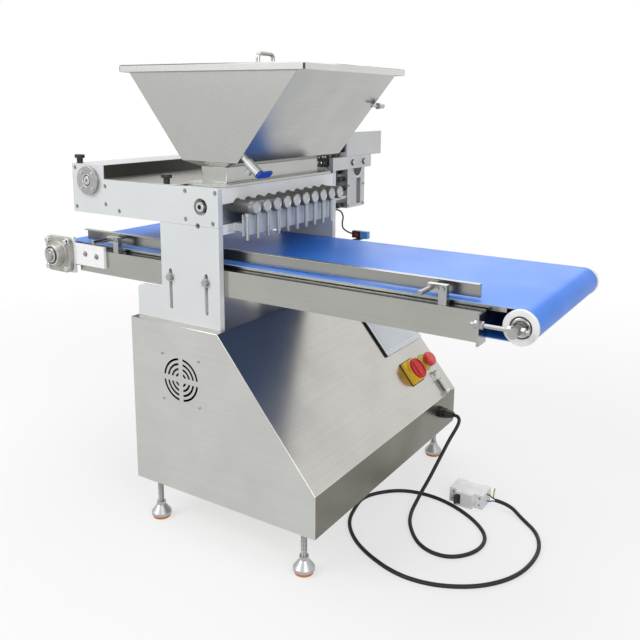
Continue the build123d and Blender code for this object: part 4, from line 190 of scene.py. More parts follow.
class ShaderBoard(NodeWriter):
    """Node tree of a material or of the world."""

    prefix: str = "ShaderNode"

    def place(self, scale: Triple) -> Socket:
        """Object coordinates, scaled by texture units per metre along each axis."""
        coordinates = self.add("TexCoord").outputs["Object"]
        return self.add("Mapping", Vector=coordinates, Scale=scale).outputs["Vector"]

    def noise(self, scale: Triple, detail: float = 3.0) -> Socket:
        """Cloudy noise, about 0.5 on average, with a number of finer layers."""
        return self.add("TexNoise", Vector=self.place(scale), Scale=1.0, Detail=detail).outputs[0]

    def work_out(self, operation: str, first: Socket, second: Socket) -> Socket:
        """Work out one value from two.

        Args:
            operation: What is done with them.
            first: First value.
            second: Second value.

        Returns:
            The result.
        """
        node = self.add("Math", first, second)
        node.operation = operation
        return node.outputs[0]

    def between(self, value: Socket, span: Pair, low: float, high: float) -> Socket:
        """Map a value's span to a new one.

        Args:
            value: Output socket to map.
            span: Lowest and highest value that come in.
            low: Result at the lowest value.
            high: Result at the highest value.

        Returns:
            The mapped value.
        """
        start, end = span
        ranged = self.add("MapRange", Value=value, From_Min=start, From_Max=end, To_Min=low, To_Max=high)
        return ranged.outputs[0]

    def mix(self, share: Socket, first: object, second: object) -> Socket:
        """Blend two colours.

        Args:
            share: Share of the second colour.
            first: Colour or colour output.
            second: Colour or colour output.

        Returns:
            The blended colour.
        """
        node = self.add("Mix")
        node.data_type = "RGBA"
        for place, value in ((0, share), (6, first), (7, second)):
            self.feed(node.inputs[place], value)
        return node.outputs[2]


@dataclass(frozen=True)
class Finish:
    """Surface with a clouded colour, a fine relief and worn edges."""

    name: str
    colour: Triple
    roughness: float = 0.45
    metallic: float = 0.0
    coat: float = 0.0
    cloud_scale: float = 9.0
    cloud_tint: float = 0.06
    relief_tint: float = 0.05
    relief_scale: Triple = (900.0, 900.0, 900.0)
    relief_detail: float = 2.0
    relief_depth: float = 0.00004
    relief_strength: float = 0.25
    wear: float = 0.25
    glow: float = 0.0

    def relief(self, board: ShaderBoard) -> Socket:
        """Fine even pitting, as on a blasted surface."""
        return board.noise(self.relief_scale, self.relief_detail)

    def tone(self, board: ShaderBoard, cloud: Socket, relief: Socket) -> Socket:
        """Colour that is darker in the clouds and in the relief and paler on the worn edges.

        Args:
            board: Material under work.
            cloud: Noise of the clouds.
            relief: Height of the relief.

        Returns:
            The colour.
        """
        colour = linear(self.colour)
        darker = [channel * (1 - 2 * self.cloud_tint) for channel in colour[:3]]
        tone = board.mix(board.between(cloud, CLOUD_SPAN, 0.0, 1.0), colour, (*darker, 1.0))
        hollow = board.between(relief, NOISE_SPAN, 0.5 * self.relief_tint, 0.0)
        tone = board.mix(hollow, tone, grey(0.0))
        edge = board.add("Attribute")
        edge.attribute_name = EDGE_WEAR
        most, least = (share * self.wear for share in WEAR_SPREAD)
        patchy = board.between(cloud, NOISE_SPAN, most, least)
        worn = board.work_out("MULTIPLY", edge.outputs["Fac"], patchy)
        return board.mix(worn, tone, WORN_METAL)

    def material(self) -> bpy.types.Material:
        """Material of this finish, made at its first use.

        Returns:
            The material.
        """
        known = bpy.data.materials.get(self.name)
        if known is not None:
            return known
        made = bpy.data.materials.new(self.name)
        made.use_nodes = True
        board = ShaderBoard(made.node_tree)
        relief = self.relief(board)
        cloud = board.noise((self.cloud_scale,) * 3)
        smooth, rough = (min(1.0, share * self.roughness) for share in ROUGHNESS_SPREAD)
        bump = board.add("Bump", Height=relief, Strength=self.relief_strength, Distance=self.relief_depth)
        values = {
            "Base Color": self.tone(board, cloud, relief),
            "Roughness": board.between(cloud, NOISE_SPAN, smooth, rough),
            "Normal": bump.outputs[0],
            "Metallic": self.metallic,
            "Coat Weight": self.coat,
            "Coat Roughness": COAT_ROUGHNESS,
            "Emission Color": linear(self.colour),
            "Emission Strength": self.glow,
        }
        shader = made.node_tree.nodes["Principled BSDF"]
        for name, value in values.items():
            board.feed(shader.inputs[name], value)
        return made


@dataclass(frozen=True)
class BrushedSheet(Finish):
    """Stainless sheet with brush lines."""

    grain: Grain = Grain.ALONG_X
    metallic: float = 1.0
    roughness: float = 0.33
    cloud_tint: float = 0.03
    relief_tint: float = 0.08
    relief_strength: float = 0.06
    wear: float = 0.35

    def relief(self, board: ShaderBoard) -> Socket:
        """Long fine scratches along the grain."""
        return board.noise(self.grain.value, self.relief_detail)


@dataclass(frozen=True)
class TurnedMetal(Finish):
    """Turned or milled metal with short tool marks."""

    metallic: float = 1.0
    roughness: float = 0.23
    cloud_scale: float = 40.0
    relief_tint: float = 0.1
    relief_scale: Triple = (520.0, 520.0, 1400.0)


@dataclass(frozen=True)
class CastHousing(Finish):
    """Sand-cast and painted iron with a coarse grain."""

    roughness: float = 0.55
    cloud_scale: float = 60.0
    relief_scale: Triple = (330.0, 330.0, 330.0)
    relief_detail: float = 4.0
    relief_depth: float = 0.0004
    relief_strength: float = 0.5


@dataclass(frozen=True)
class MouldedPlastic(Finish):
    """Injection-moulded plastic with a finely etched skin."""

    roughness: float = 0.38
    cloud_scale: float = 55.0
    cloud_tint: float = 0.05
    relief_scale: Triple = (1100.0, 1100.0, 1100.0)
    relief_depth: float = 0.00006
    wear: float = 0.0

    def relief(self, board: ShaderBoard) -> Socket:
        """Etched pebble grain."""
        return board.add("TexVoronoi", Vector=board.place(self.relief_scale), Scale=1.0).outputs["Distance"]


@dataclass(frozen=True)
class BeltCover(Finish):
    """Coated conveyor fabric with its weave just showing."""

    roughness: float = 0.34
    cloud_scale: float = 5.0
    cloud_tint: float = 0.05
    relief_depth: float = 0.00008
    relief_strength: float = 0.15
    wear: float = 0.0
    thread_scale: float = 190.0

    def relief(self, board: ShaderBoard) -> Socket:
        """Crossed threads.

        Args:
            board: Material under work.

        Returns:
            The height of the weave.
        """
        place = board.place((1.0, 1.0, 1.0))
        waves = []
        for direction in ("X", "Y"):
            wave = board.add("TexWave", Vector=place, Scale=self.thread_scale, Distortion=0.4)
            wave.bands_direction = direction
            waves.append(wave.outputs["Fac"])
        return board.work_out("MULTIPLY", *waves)


@dataclass(frozen=True)
class HammerPaint(Finish):
    """Hammered machine paint."""

    roughness: float = 0.4
    coat: float = 0.2
    relief_scale: Triple = (240.0, 240.0, 240.0)
    relief_depth: float = 0.0003
    relief_strength: float = 0.3

    def relief(self, board: ShaderBoard) -> Socket:
        """Shallow round dents.

        Args:
            board: Material under work.

        Returns:
            The height of the dents.
        """
        cells = board.add("TexVoronoi", Vector=board.place(self.relief_scale), Scale=1.0)
        cells.feature = "SMOOTH_F1"
        return cells.outputs["Distance"]


class Finishes:
    """Every finish of the machine: its name, its colour as a screen shows it, and its roughness."""

    cabinet_side = BrushedSheet("cabinet_side_steel", (200, 200, 196), 0.23)
    cabinet_slope = BrushedSheet("cabinet_slope_steel", (201, 199, 193), 0.21, grain=Grain.ALONG_Y)
    # painted shade: a darker copy of the cabinet steel for the upright front wall
    cabinet_front_shade = BrushedSheet("cabinet_front_steel", (134, 131, 120), 0.34, grain=Grain.ALONG_Y)
    hopper = BrushedSheet("hopper_steel", (182, 183, 179), 0.22, grain=Grain.ALONG_Y)
    # painted highlight: a lighter copy of the hopper steel for the upright faces of the rim
    hopper_rim_highlight = BrushedSheet("hopper_rim_steel", (213, 214, 212), 0.22, grain=Grain.ALONG_Y)
    rail = BrushedSheet("rail_steel", (172, 172, 167), 0.22)
    guide = BrushedSheet("guide_steel", (154, 154, 149), 0.22)
    fitting = BrushedSheet("fitting_steel", (184, 185, 184), 0.36, grain=Grain.TURNED)
    # painted shade: the outlet tubes' steel darkened well below the other steel, for the shade between the
    # caps
    tube_steel = BrushedSheet("tube_steel", (104, 104, 103), 0.45, metallic=0.5, grain=Grain.TURNED)
    # painted shade: a darker copy of the cap steel for the caps' rims and sides, below their brighter faces
    cap_steel = BrushedSheet("cap_steel", (132, 132, 131), 0.4, metallic=0.6, grain=Grain.TURNED)
    # painted shade: dark steel for the drive cover's front faces, standing in for their shade
    step_shade_steel = BrushedSheet("cover_step_steel", (110, 110, 105), 0.36, grain=Grain.ALONG_Y)
    cover_steel = BrushedSheet("piston_cover_steel", (172, 171, 166), 0.34, grain=Grain.ALONG_Y)
    satin = BrushedSheet("satin_sheet", (216, 220, 224), 0.42, metallic=0.3, grain=Grain.ALONG_Y)
    turned = TurnedMetal("turned_steel", (176, 177, 176))
    dark_steel = TurnedMetal("blackened_steel", (84, 84, 84), 0.4)
    bolt_steel = TurnedMetal("bolt_steel", (132, 132, 131), 0.34)
    bright_steel = TurnedMetal("bright_steel", (206, 206, 204), 0.22)
    plate = Finish(
        "anodised_plate", (217, 220, 221), 0.42, metallic=0.2, cloud_tint=0.02, relief_tint=0.03, wear=0.0
    )
    # painted shade: dark grey for the seam between the uprights and the head plates
    seam = Finish("seam_grey", (118, 119, 120), 0.7, wear=0.0)
    # painted light: near-white, brighter than the plate and the milled aluminium, for the ties' front faces,
    # the drive brackets and the disc ring
    front_plate_painted_light = Finish("front_plate_white", (248, 248, 249), 0.4, cloud_tint=0.02, wear=0.0)
    tie = Finish("milled_aluminium", (196, 197, 199), 0.36, metallic=0.8)
    white_cover = Finish("white_coated_sheet", (208, 209, 209), 0.4, cloud_tint=0.02)
    grey_cover = Finish("grey_coated_sheet", (216, 216, 214), 0.42, cloud_tint=0.03)
    gear_grey = Finish("control_gear_grey", (120, 122, 122), 0.55)
    casting = CastHousing("cast_housing", (178, 176, 169), 0.4, metallic=0.6)
    belt = BeltCover("belt_blue_cover", (34, 124, 234), 0.4)
    belt_edge = Finish("belt_cut_edge", (150, 176, 214), 0.7)
    # painted shade: a darker copy of the belt blue for the faces that look down
    belt_painted_shade = BeltCover("belt_return_side", (40, 85, 151), 0.5)
    white_plastic = MouldedPlastic("white_moulding", (242, 242, 240))
    black_plastic = MouldedPlastic("black_moulding", (24, 24, 26))
    red_plastic = MouldedPlastic("red_moulding", (214, 18, 10), 0.42)
    stop_red = MouldedPlastic("stop_button_red", (232, 62, 56), 0.32, coat=0.3)
    lime_plastic = MouldedPlastic("lime_moulding", (214, 216, 92), 0.36)
    dark_red = MouldedPlastic("dark_red_moulding", (158, 28, 36), 0.4)
    fan_red = MouldedPlastic("fan_rotor_moulding", (86, 40, 38), 0.5)
    yellow_plastic = MouldedPlastic("yellow_moulding", (255, 206, 46), 0.4)
    blue_sleeve = MouldedPlastic("blue_dipped_sleeve", (36, 72, 178), 0.35)
    sensor_blue = MouldedPlastic("blue_moulding", (88, 152, 228), 0.35)
    orange_pad = MouldedPlastic("orange_pad_rubber", (222, 118, 40), 0.6)
    panel_film = Finish("panel_film", (222, 226, 228), 0.2, metallic=0.3, cloud_tint=0.03, wear=0.0)
    # painted light: the pale pane glows, standing in for a bright reflection on it
    screen = Finish("screen_pane", (206, 212, 217), 0.1, cloud_tint=0.04, wear=0.0, glow=0.16)
    sheath = MouldedPlastic("cord_sheath", (9, 9, 10), 0.6)
    core_blue = MouldedPlastic("core_skin_blue", (40, 92, 190))
    core_dark = MouldedPlastic("core_skin_dark", (30, 28, 27))
    core_green = MouldedPlastic("core_skin_green", (150, 176, 40))
    motor_paint = HammerPaint("motor_paint", (126, 130, 134))


BY_SLOT: dict[str, Finish] = {
    "stainless": Finishes.fitting,
    "white_plate": Finishes.plate,
    "white_cover": Finishes.white_cover,
    "grey_cover": Finishes.grey_cover,
    "machined_steel": Finishes.turned,
    "aluminium": Finishes.tie,
    "cast_grey": Finishes.casting,
    "belt_blue": Finishes.belt,
    "white_plastic": Finishes.white_plastic,
    "black_plastic": Finishes.black_plastic,
    "red_plastic": Finishes.red_plastic,
    "yellow_plastic": Finishes.yellow_plastic,
    "blue_handle": Finishes.blue_sleeve,
    "orange_pad": Finishes.orange_pad,
    "screen_glass": Finishes.screen,
    "cord_black": Finishes.sheath,
    "core_blue": Finishes.core_blue,
    "motor_grey": Finishes.motor_paint,
}


class GroupMaker(NodeWriter):
    """Geometry node group under construction."""

    def __init__(self, name: str, sizes: dict[str, str]) -> None:
        """Start a group that takes and gives geometry.

        Args:
            name: Name of the group.
            sizes: Socket type of each named input, without its NodeSocket prefix.
        """
        super().__init__(bpy.data.node_groups.new(name, "GeometryNodeTree"))
        interface = self.tree.interface
        interface.new_socket("Geometry", in_out="OUTPUT", socket_type="NodeSocketGeometry")
        for size, kind in {"Geometry": "Geometry", **sizes, "Finish": "Material"}.items():
            interface.new_socket(size, in_out="INPUT", socket_type="NodeSocket" + kind)
        self.given = self.add("NodeGroupInput").outputs

    def spread(self, points: Socket, part: Socket, **turn: Socket) -> bpy.types.NodeTree:
        """End the group: the part on every point becomes a plain mesh with the finish on it.

        Args:
            points: Where the part goes.
            part: Geometry of the part.
            **turn: How the part is turned, as the input Rotation.

        Returns:
            The finished group.
        """
        copies = self.add("GeometryNodeInstanceOnPoints", Points=points, Instance=part, **turn)
        real = self.add("GeometryNodeRealizeInstances", copies.outputs[0])
        dressed = self.add("GeometryNodeSetMaterial", real.outputs[0], Material=self.given["Finish"])
        self.add("NodeGroupOutput", dressed.outputs[0])
        return self.tree


def scatter_group() -> bpy.types.NodeTree:
    """Group that puts one small part on every point, all turned alike.

    Returns:
        The node group.
    """
    maker = GroupMaker("part_on_every_point", {"Part": "Object", "Turn": "Vector"})
    part = maker.add("GeometryNodeObjectInfo", Object=maker.given["Part"])
    turn = maker.add("FunctionNodeEulerToRotation", Euler=maker.given["Turn"])
    return maker.spread(maker.given["Geometry"], part.outputs["Geometry"], Rotation=turn.outputs[0])


def row_group() -> bpy.types.NodeTree:
    """Group that lays one part out in an even row.

    Returns:
        The node group.
    """
    sizes = {"Part": "Object", "Count": "Int", "Start": "Vector", "Step": "Vector"}
    maker = GroupMaker("part_in_a_row", sizes)
    given = maker.given
    part = maker.add("GeometryNodeObjectInfo", Object=given["Part"])
    line = maker.add(
        "GeometryNodeMeshLine", Count=given["Count"], Start_Location=given["Start"], Offset=given["Step"]
    )
    return maker.spread(line.outputs[0], part.outputs["Geometry"])


def thread_group() -> bpy.types.NodeTree:
    """Group that winds a screw thread upward from every point.

    Returns:
        The node group.
    """
    sizes = dict.fromkeys(("Radius", "Height", "Turns", "Depth"), "Float")
    maker = GroupMaker("thread_on_every_point", sizes)
    given = maker.given
    coil = maker.add(
        "GeometryNodeCurveSpiral",
        Resolution=20,
        Rotations=given["Turns"],
        Start_Radius=given["Radius"],
        End_Radius=given["Radius"],
        Height=given["Height"],
    )
    ridge = maker.add("GeometryNodeCurvePrimitiveCircle", Resolution=4, Radius=given["Depth"])
    thread = maker.add("GeometryNodeCurveToMesh", Curve=coil.outputs[0], Profile_Curve=ridge.outputs[0])
    return maker.spread(given["Geometry"], thread.outputs[0])


def linked(name: str, data: bpy.types.ID) -> Piece:
    """New object in the scene around a mesh, curve, lamp or camera.

    Args:
        name: Name of the object.
        data: What it shows.

    Returns:
        The object.
    """
    made = bpy.data.objects.new(name, data)
    bpy.context.scene.collection.objects.link(made)
    return made


def freeze(source: Piece) -> None:
    """Turn a mesh object's modifiers into its plain mesh and take them off.

    Args:
        source: Mesh object.
    """
    graph = bpy.context.evaluated_depsgraph_get()
    plain = bpy.data.meshes.new_from_object(source.evaluated_get(graph), depsgraph=graph)
    source.modifiers.clear()
    source.data = plain


def is_curved(face: bmesh.types.BMFace) -> bool:
    """Tell whether a face is one narrow step of a curved surface.

    Args:
        face: Face of a mesh under work.

    Returns:
        True for a step, false for a flat face.
    """
    turns = any(FLAT_ANGLE < edge.calc_face_angle(0.0) < HARD_ANGLE for edge in face.edges)
    longest = max(edge.calc_length() for edge in face.edges)
    return turns and face.calc_area() < STEP_WIDTH * longest


def settled(work: bmesh.types.BMesh, name: str) -> Mesh:
    """Mesh with smooth curves, flat faces and hard edges.

    Args:
        work: Mesh under work, which is freed.
        name: Name of the mesh.

    Returns:
        The mesh.
    """
    for face in work.faces:
        face.smooth = is_curved(face)
    for edge in work.edges:
        edge.smooth = edge.calc_face_angle(0.0) <= HARD_ANGLE
    mesh = bpy.data.meshes.new(name)
    work.to_mesh(mesh)
    work.free()
    return mesh


def lathe(profile: Sequence[Pair], segments: int = 40, flutes: Sequence[int] = ()) -> Mesh:
    """Round part about Z from its outline.

    Args:
        profile: Radius and height, from the foot to the top.
        segments: Faces around the part.
        flutes: Rows of the profile whose every second point lies deeper, for a gripped rim.

    Returns:
        The mesh.
    """
    work = bmesh.new()
    rings = []
    for row, (radius, height) in enumerate(profile):
        ring = []
        for index in range(segments):
            angle = 2 * math.pi * index / segments
            reach = radius - (FLUTE_DEPTH if row in flutes and index % 2 else 0.0)
            point = Vector((reach * math.cos(angle), reach * math.sin(angle), height))
            ring.append(work.verts.new(point * MILLI))
        rings.append(ring)
    for lower, upper in zip(rings, rings[1:]):
        for index in range(segments):
            after = (index + 1) % segments
            work.faces.new((lower[index], lower[after], upper[after], upper[index]))
    bmesh.ops.remove_doubles(work, verts=work.verts, dist=MERGE_DISTANCE)
    bmesh.ops.recalc_face_normals(work, faces=work.faces)
    return settled(work, "round_part")


def socket_screw(head: float, height: float) -> Mesh:
    """Cap screw head with a gripped rim and a sunk socket.

    Args:
        head: Radius of the head.
        height: Height of the head.

    Returns:
        The mesh, standing on its foot.
    """
    rim = height - 0.4
    profile = [(0, 0), (head, 0), (head, rim), (head - 0.5, height), (0.55 * head, height)]
    profile += [(0.5 * head, height - 0.3), (0.48 * head, 0.4 * height), (0, 0.3 * height)]
    return lathe(profile, segments=36, flutes=(1, 2))


def rounded_block(low: Vector, high: Vector, rounding: float) -> Mesh:
    """Block with rounded edges between two corners.

    Args:
        low: Lowest corner.
        high: Highest corner.
        rounding: Radius of the edges.

    Returns:
        The mesh.
    """
    work = bmesh.new()
    size = Matrix.Diagonal((*(high - low), 1.0))
    bmesh.ops.create_cube(work, size=1.0, matrix=Matrix.Translation((low + high) / 2) @ size)
    bmesh.ops.bevel(work, geom=work.edges, offset=rounding * MILLI, segments=3, profile=0.5, affect="EDGES")
    return settled(work, "rounded_block")


def turned_to(mesh: Mesh, facing: Facing, place: Vector) -> Mesh:
    """Turn a part that points up and move its foot to a place.

    Args:
        mesh: The part.
        facing: Way that it points afterwards.
        place: Where its foot goes.

    Returns:
        The same mesh.
    """
    mesh.transform(Matrix.Translation(place) @ Euler(facing.value).to_matrix().to_4x4())
    return mesh


def ring_painter(middle: Vector, *rings: Pair) -> Painter:
    """Painter that gives the second finish to the faces in rings about a line across the belt.

    Args:
        middle: A point of the line.
        *rings: Inner and outer radius of each ring.

    Returns:
        The painter.
    """

    def paint(centre: Vector, normal: Vector) -> int:
        """One inside a ring, zero outside them."""
        reach = math.hypot(centre.x - middle.x, centre.z - middle.z) / MILLI
        return int(any(low < reach < high for low, high in rings))

    return paint


def routed(name: str, route: Sequence[Triple], radius: float, finish: Finish) -> Piece:
    """Round lead along one smooth line.

    Args:
        name: Name of the piece.
        route: Control points of the line.
        radius: Radius of the lead in metres.
        finish: Its finish.

    Returns:
        The curve object.
    """
    curve = bpy.data.curves.new(name, "CURVE")
    curve.dimensions = "3D"
    spline = curve.splines.new("NURBS")
    spline.points.add(len(route) - 1)
    for control, point in zip(spline.points, route):
        control.co = (*at(*point), 1.0)
    spline.order_u = 3
    spline.use_endpoint_u = True
    spline.resolution_u = 8
    curve.bevel_depth = radius
    curve.bevel_resolution = 5
    curve.use_fill_caps = True
    curve.materials.append(finish.material())
    return linked(name, curve)


def mark_strips(mesh: Mesh) -> None:
    """Shade the rounding strips of a mesh on their own and note them for the edge wear.

    Args:
        mesh: Mesh whose strips carry the strip mark as their material place.
    """
    work = bmesh.new()
    work.from_mesh(mesh)
    wear = work.faces.layers.float.new(EDGE_WEAR)
    for face in work.faces:
        if face.material_index == STRIP_MARK:
            face.smooth = True
            face[wear] = 1.0
    for edge in work.edges:
        places = {face.material_index for face in edge.link_faces}
        if len(places) > 1:
            edge.smooth = False
    work.to_mesh(mesh)
    work.free()


@dataclass
class Workshop:
    """The loaded frame and the shared ways to make pieces around it."""

    frame: dict
    groups: dict[str, bpy.types.NodeTree] = field(init=False)
    body_of: dict[str, str] = field(init=False)
    slot_of: dict[str, str] = field(init=False)
    waiting: set[str] = field(init=False)

    def __post_init__(self) -> None:
        """Look up the body and slot of every node and make the node groups."""
        record = self.frame["record"]
        bodies = record["behaviour"]["bodies"]
        self.body_of = {node: body for body, nodes in bodies.items() for node in nodes}
        self.slot_of = {part["node"]: part["material_slot"] for part in record["subparts"]}
        self.waiting = set(self.body_of)
        self.groups = {"scatter": scatter_group(), "row": row_group(), "thread": thread_group()}

    def hand_over(self, piece: Piece, home: Home, *nodes: str) -> Piece:
        """Let a finished piece ride on its body and stand for nodes.

        Args:
            piece: Finished object.
            home: Body that it moves with and material slot that it belongs to; the slot is not used.
            *nodes: Nodes that it stands for.

        Returns:
            The piece.
        """
        body, slot = home
        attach(piece, body)
        if nodes:
            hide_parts(*nodes)
            self.waiting.difference_update(nodes)
        LOG.info("%s rides on %s", piece.name, body)
        return piece

    def keep(self, node: str, finish: Finish) -> None:
        """Leave a node as it is and give it a finish.

        Args:
            node: Name of the node.
            finish: Its finish.
        """
        for slot in self.frame["nodes"][node].material_slots:
            slot.material = finish.material()
        self.waiting.discard(node)
        LOG.info("%s keeps its solid with %s", node, finish.name)

    def coat(self, piece: Piece, finish: Sequence[Finish], paint: Painter | None = None) -> None:
        """Put finishes on a mesh piece.

        Args:
            piece: Mesh object.
            finish: One or more finishes.
            paint: Chooses among them; without it, the first covers all.
        """
        mesh = piece.data
        mesh.materials.clear()
        for one in finish:
            mesh.materials.append(one.material())
        for face in mesh.polygons:
            face.material_index = paint(face.center, face.normal) if paint else 0

    def clean_copy(self, node: str, shortest: float, only: Chooser | None) -> Mesh:
        """Copy of a node's mesh with whole faces, and with its hard edges marked for rounding.

        Args:
            node: Name of the node.
            shortest: Shortest edge that is marked.
            only: Tells from a face's centre whether the face is taken over.

        Returns:
            The mesh.
        """
        work = bmesh.new()
        work.from_mesh(self.frame["nodes"][node].data)
        bmesh.ops.remove_doubles(work, verts=work.verts, dist=MERGE_DISTANCE)
        if only is not None:
            spare = [face for face in work.faces if not only(face.calc_center_median())]
            bmesh.ops.delete(work, geom=spare, context="FACES")
        bmesh.ops.dissolve_limit(work, angle_limit=FLAT_ANGLE, verts=work.verts, edges=work.edges)
        weight = work.edges.layers.float.new("bevel_weight_edge")
        for edge in work.edges:
            hard = edge.calc_face_angle(0.0) > HARD_ANGLE
            if hard and edge.calc_length() >= shortest * MILLI:
                edge[weight] = 1.0
        for face in work.faces:
            face.material_index = 0
        return settled(work, node + "_dressed")

    def soften(
        self,
        node: str,
        width: float,
        *finish: Finish,
        shortest: float = 0.0,
        paint: Painter | None = None,
        only: Chooser | None = None,
    ) -> Piece:
        """Copy of a node with its hard edges rounded, standing for that node.

        Args:
            node: Name of the node.
            width: Width of the rounding.
            *finish: Its finishes; without any, the one of the node's slot.
            shortest: Shortest edge that is rounded.
            paint: Chooses among the finishes.
            only: Tells from a face's centre whether the face is taken over.

        Returns:
            The piece.
        """
        home = (self.body_of[node], self.slot_of[node])
        chosen = finish or (BY_SLOT[self.slot_of[node]],)
        piece = linked(node + "_dressed", self.clean_copy(node, shortest, only))
        for _ in range(STRIP_MARK + 1):
            piece.data.materials.append(chosen[0].material())
        rounding = piece.modifiers.new("rounding", "BEVEL")
        rounding.limit_method = "WEIGHT"
        rounding.width = width * MILLI
        rounding.segments = 2
        rounding.use_clamp_overlap = True
        rounding.material = STRIP_MARK
        freeze(piece)
        mark_strips(piece.data)
        self.coat(piece, chosen, paint)
        return self.hand_over(piece, home, node)

    def fit(self, name: str, mesh: Mesh, home: Home, *finish: Finish, paint: Painter | None = None) -> None:
        """Set a finished mesh in its place as a piece of its own.

        Args:
            name: Name of the piece.
            mesh: Its mesh.
            home: Its body and slot.
            *finish: Its finishes.
            paint: Chooses among them.
        """
        piece = linked(name, mesh)
        self.coat(piece, finish, paint)
        self.hand_over(piece, home)

    def grow(
        self,
        name: str,
        group: str,
        sizes: dict[str, object],
        points: Sequence[Vector] = (),
        part: Mesh | None = None,
    ) -> Piece:
        """Run a node group and keep its result as a plain mesh.

        Args:
            name: Name of the piece.
            group: Which node group.
            sizes: Values of its named inputs.
            points: Points that the group starts from.
            part: What the group repeats, if it does not make that itself.

        Returns:
            The piece, not yet riding on a body.
        """
        model = None if part is None else linked(name + "_model", part)
        given = {"Part": model, **sizes}
        seed = bpy.data.meshes.new(name)
        seed.from_pydata([tuple(point) for point in points], [], [])
        piece = linked(name, seed)
        modifier = piece.modifiers.new("grown", "NODES")
        modifier.node_group = self.groups[group]
        for item in modifier.node_group.interface.items_tree:
            if item.in_out == "INPUT" and item.name in given:
                modifier[item.identifier] = given[item.name]
        freeze(piece)
        if model is not None:
            bpy.data.objects.remove(model)
        return piece

    def scatter(
        self, name: str, part: Mesh, points: Sequence[Vector], facing: Facing, finish: Finish, home: Home
    ) -> None:
        """Put one small part on many points.

        Args:
            name: Name of the piece.
            part: Mesh of the small part, pointing up from its foot.
            points: Where the feet stand.
            facing: Way that the parts point.
            finish: Their finish.
            home: Their body and slot.
        """
        sizes = {"Turn": facing.value, "Finish": finish.material()}
        self.hand_over(self.grow(name, "scatter", sizes, points, part), home)

    def row(
        self,
        name: str,
        part: Mesh,
        count: int,
        start: Vector,
        step: Vector,
        finish: Finish,
        home: Home,
        *nodes: str,
    ) -> None:
        """Lay one part out in a row.

        Args:
            name: Name of the piece.
            part: Mesh of the part about the first place.
            count: Number of parts.
            start: First place.
            step: Way from one part to the next.
            finish: Their finish.
            home: Their body and slot.
            *nodes: Nodes that they stand for.
        """
        sizes = {"Count": count, "Start": start, "Step": step, "Finish": finish.material()}
        self.hand_over(self.grow(name, "row", sizes, part=part), home, *nodes)


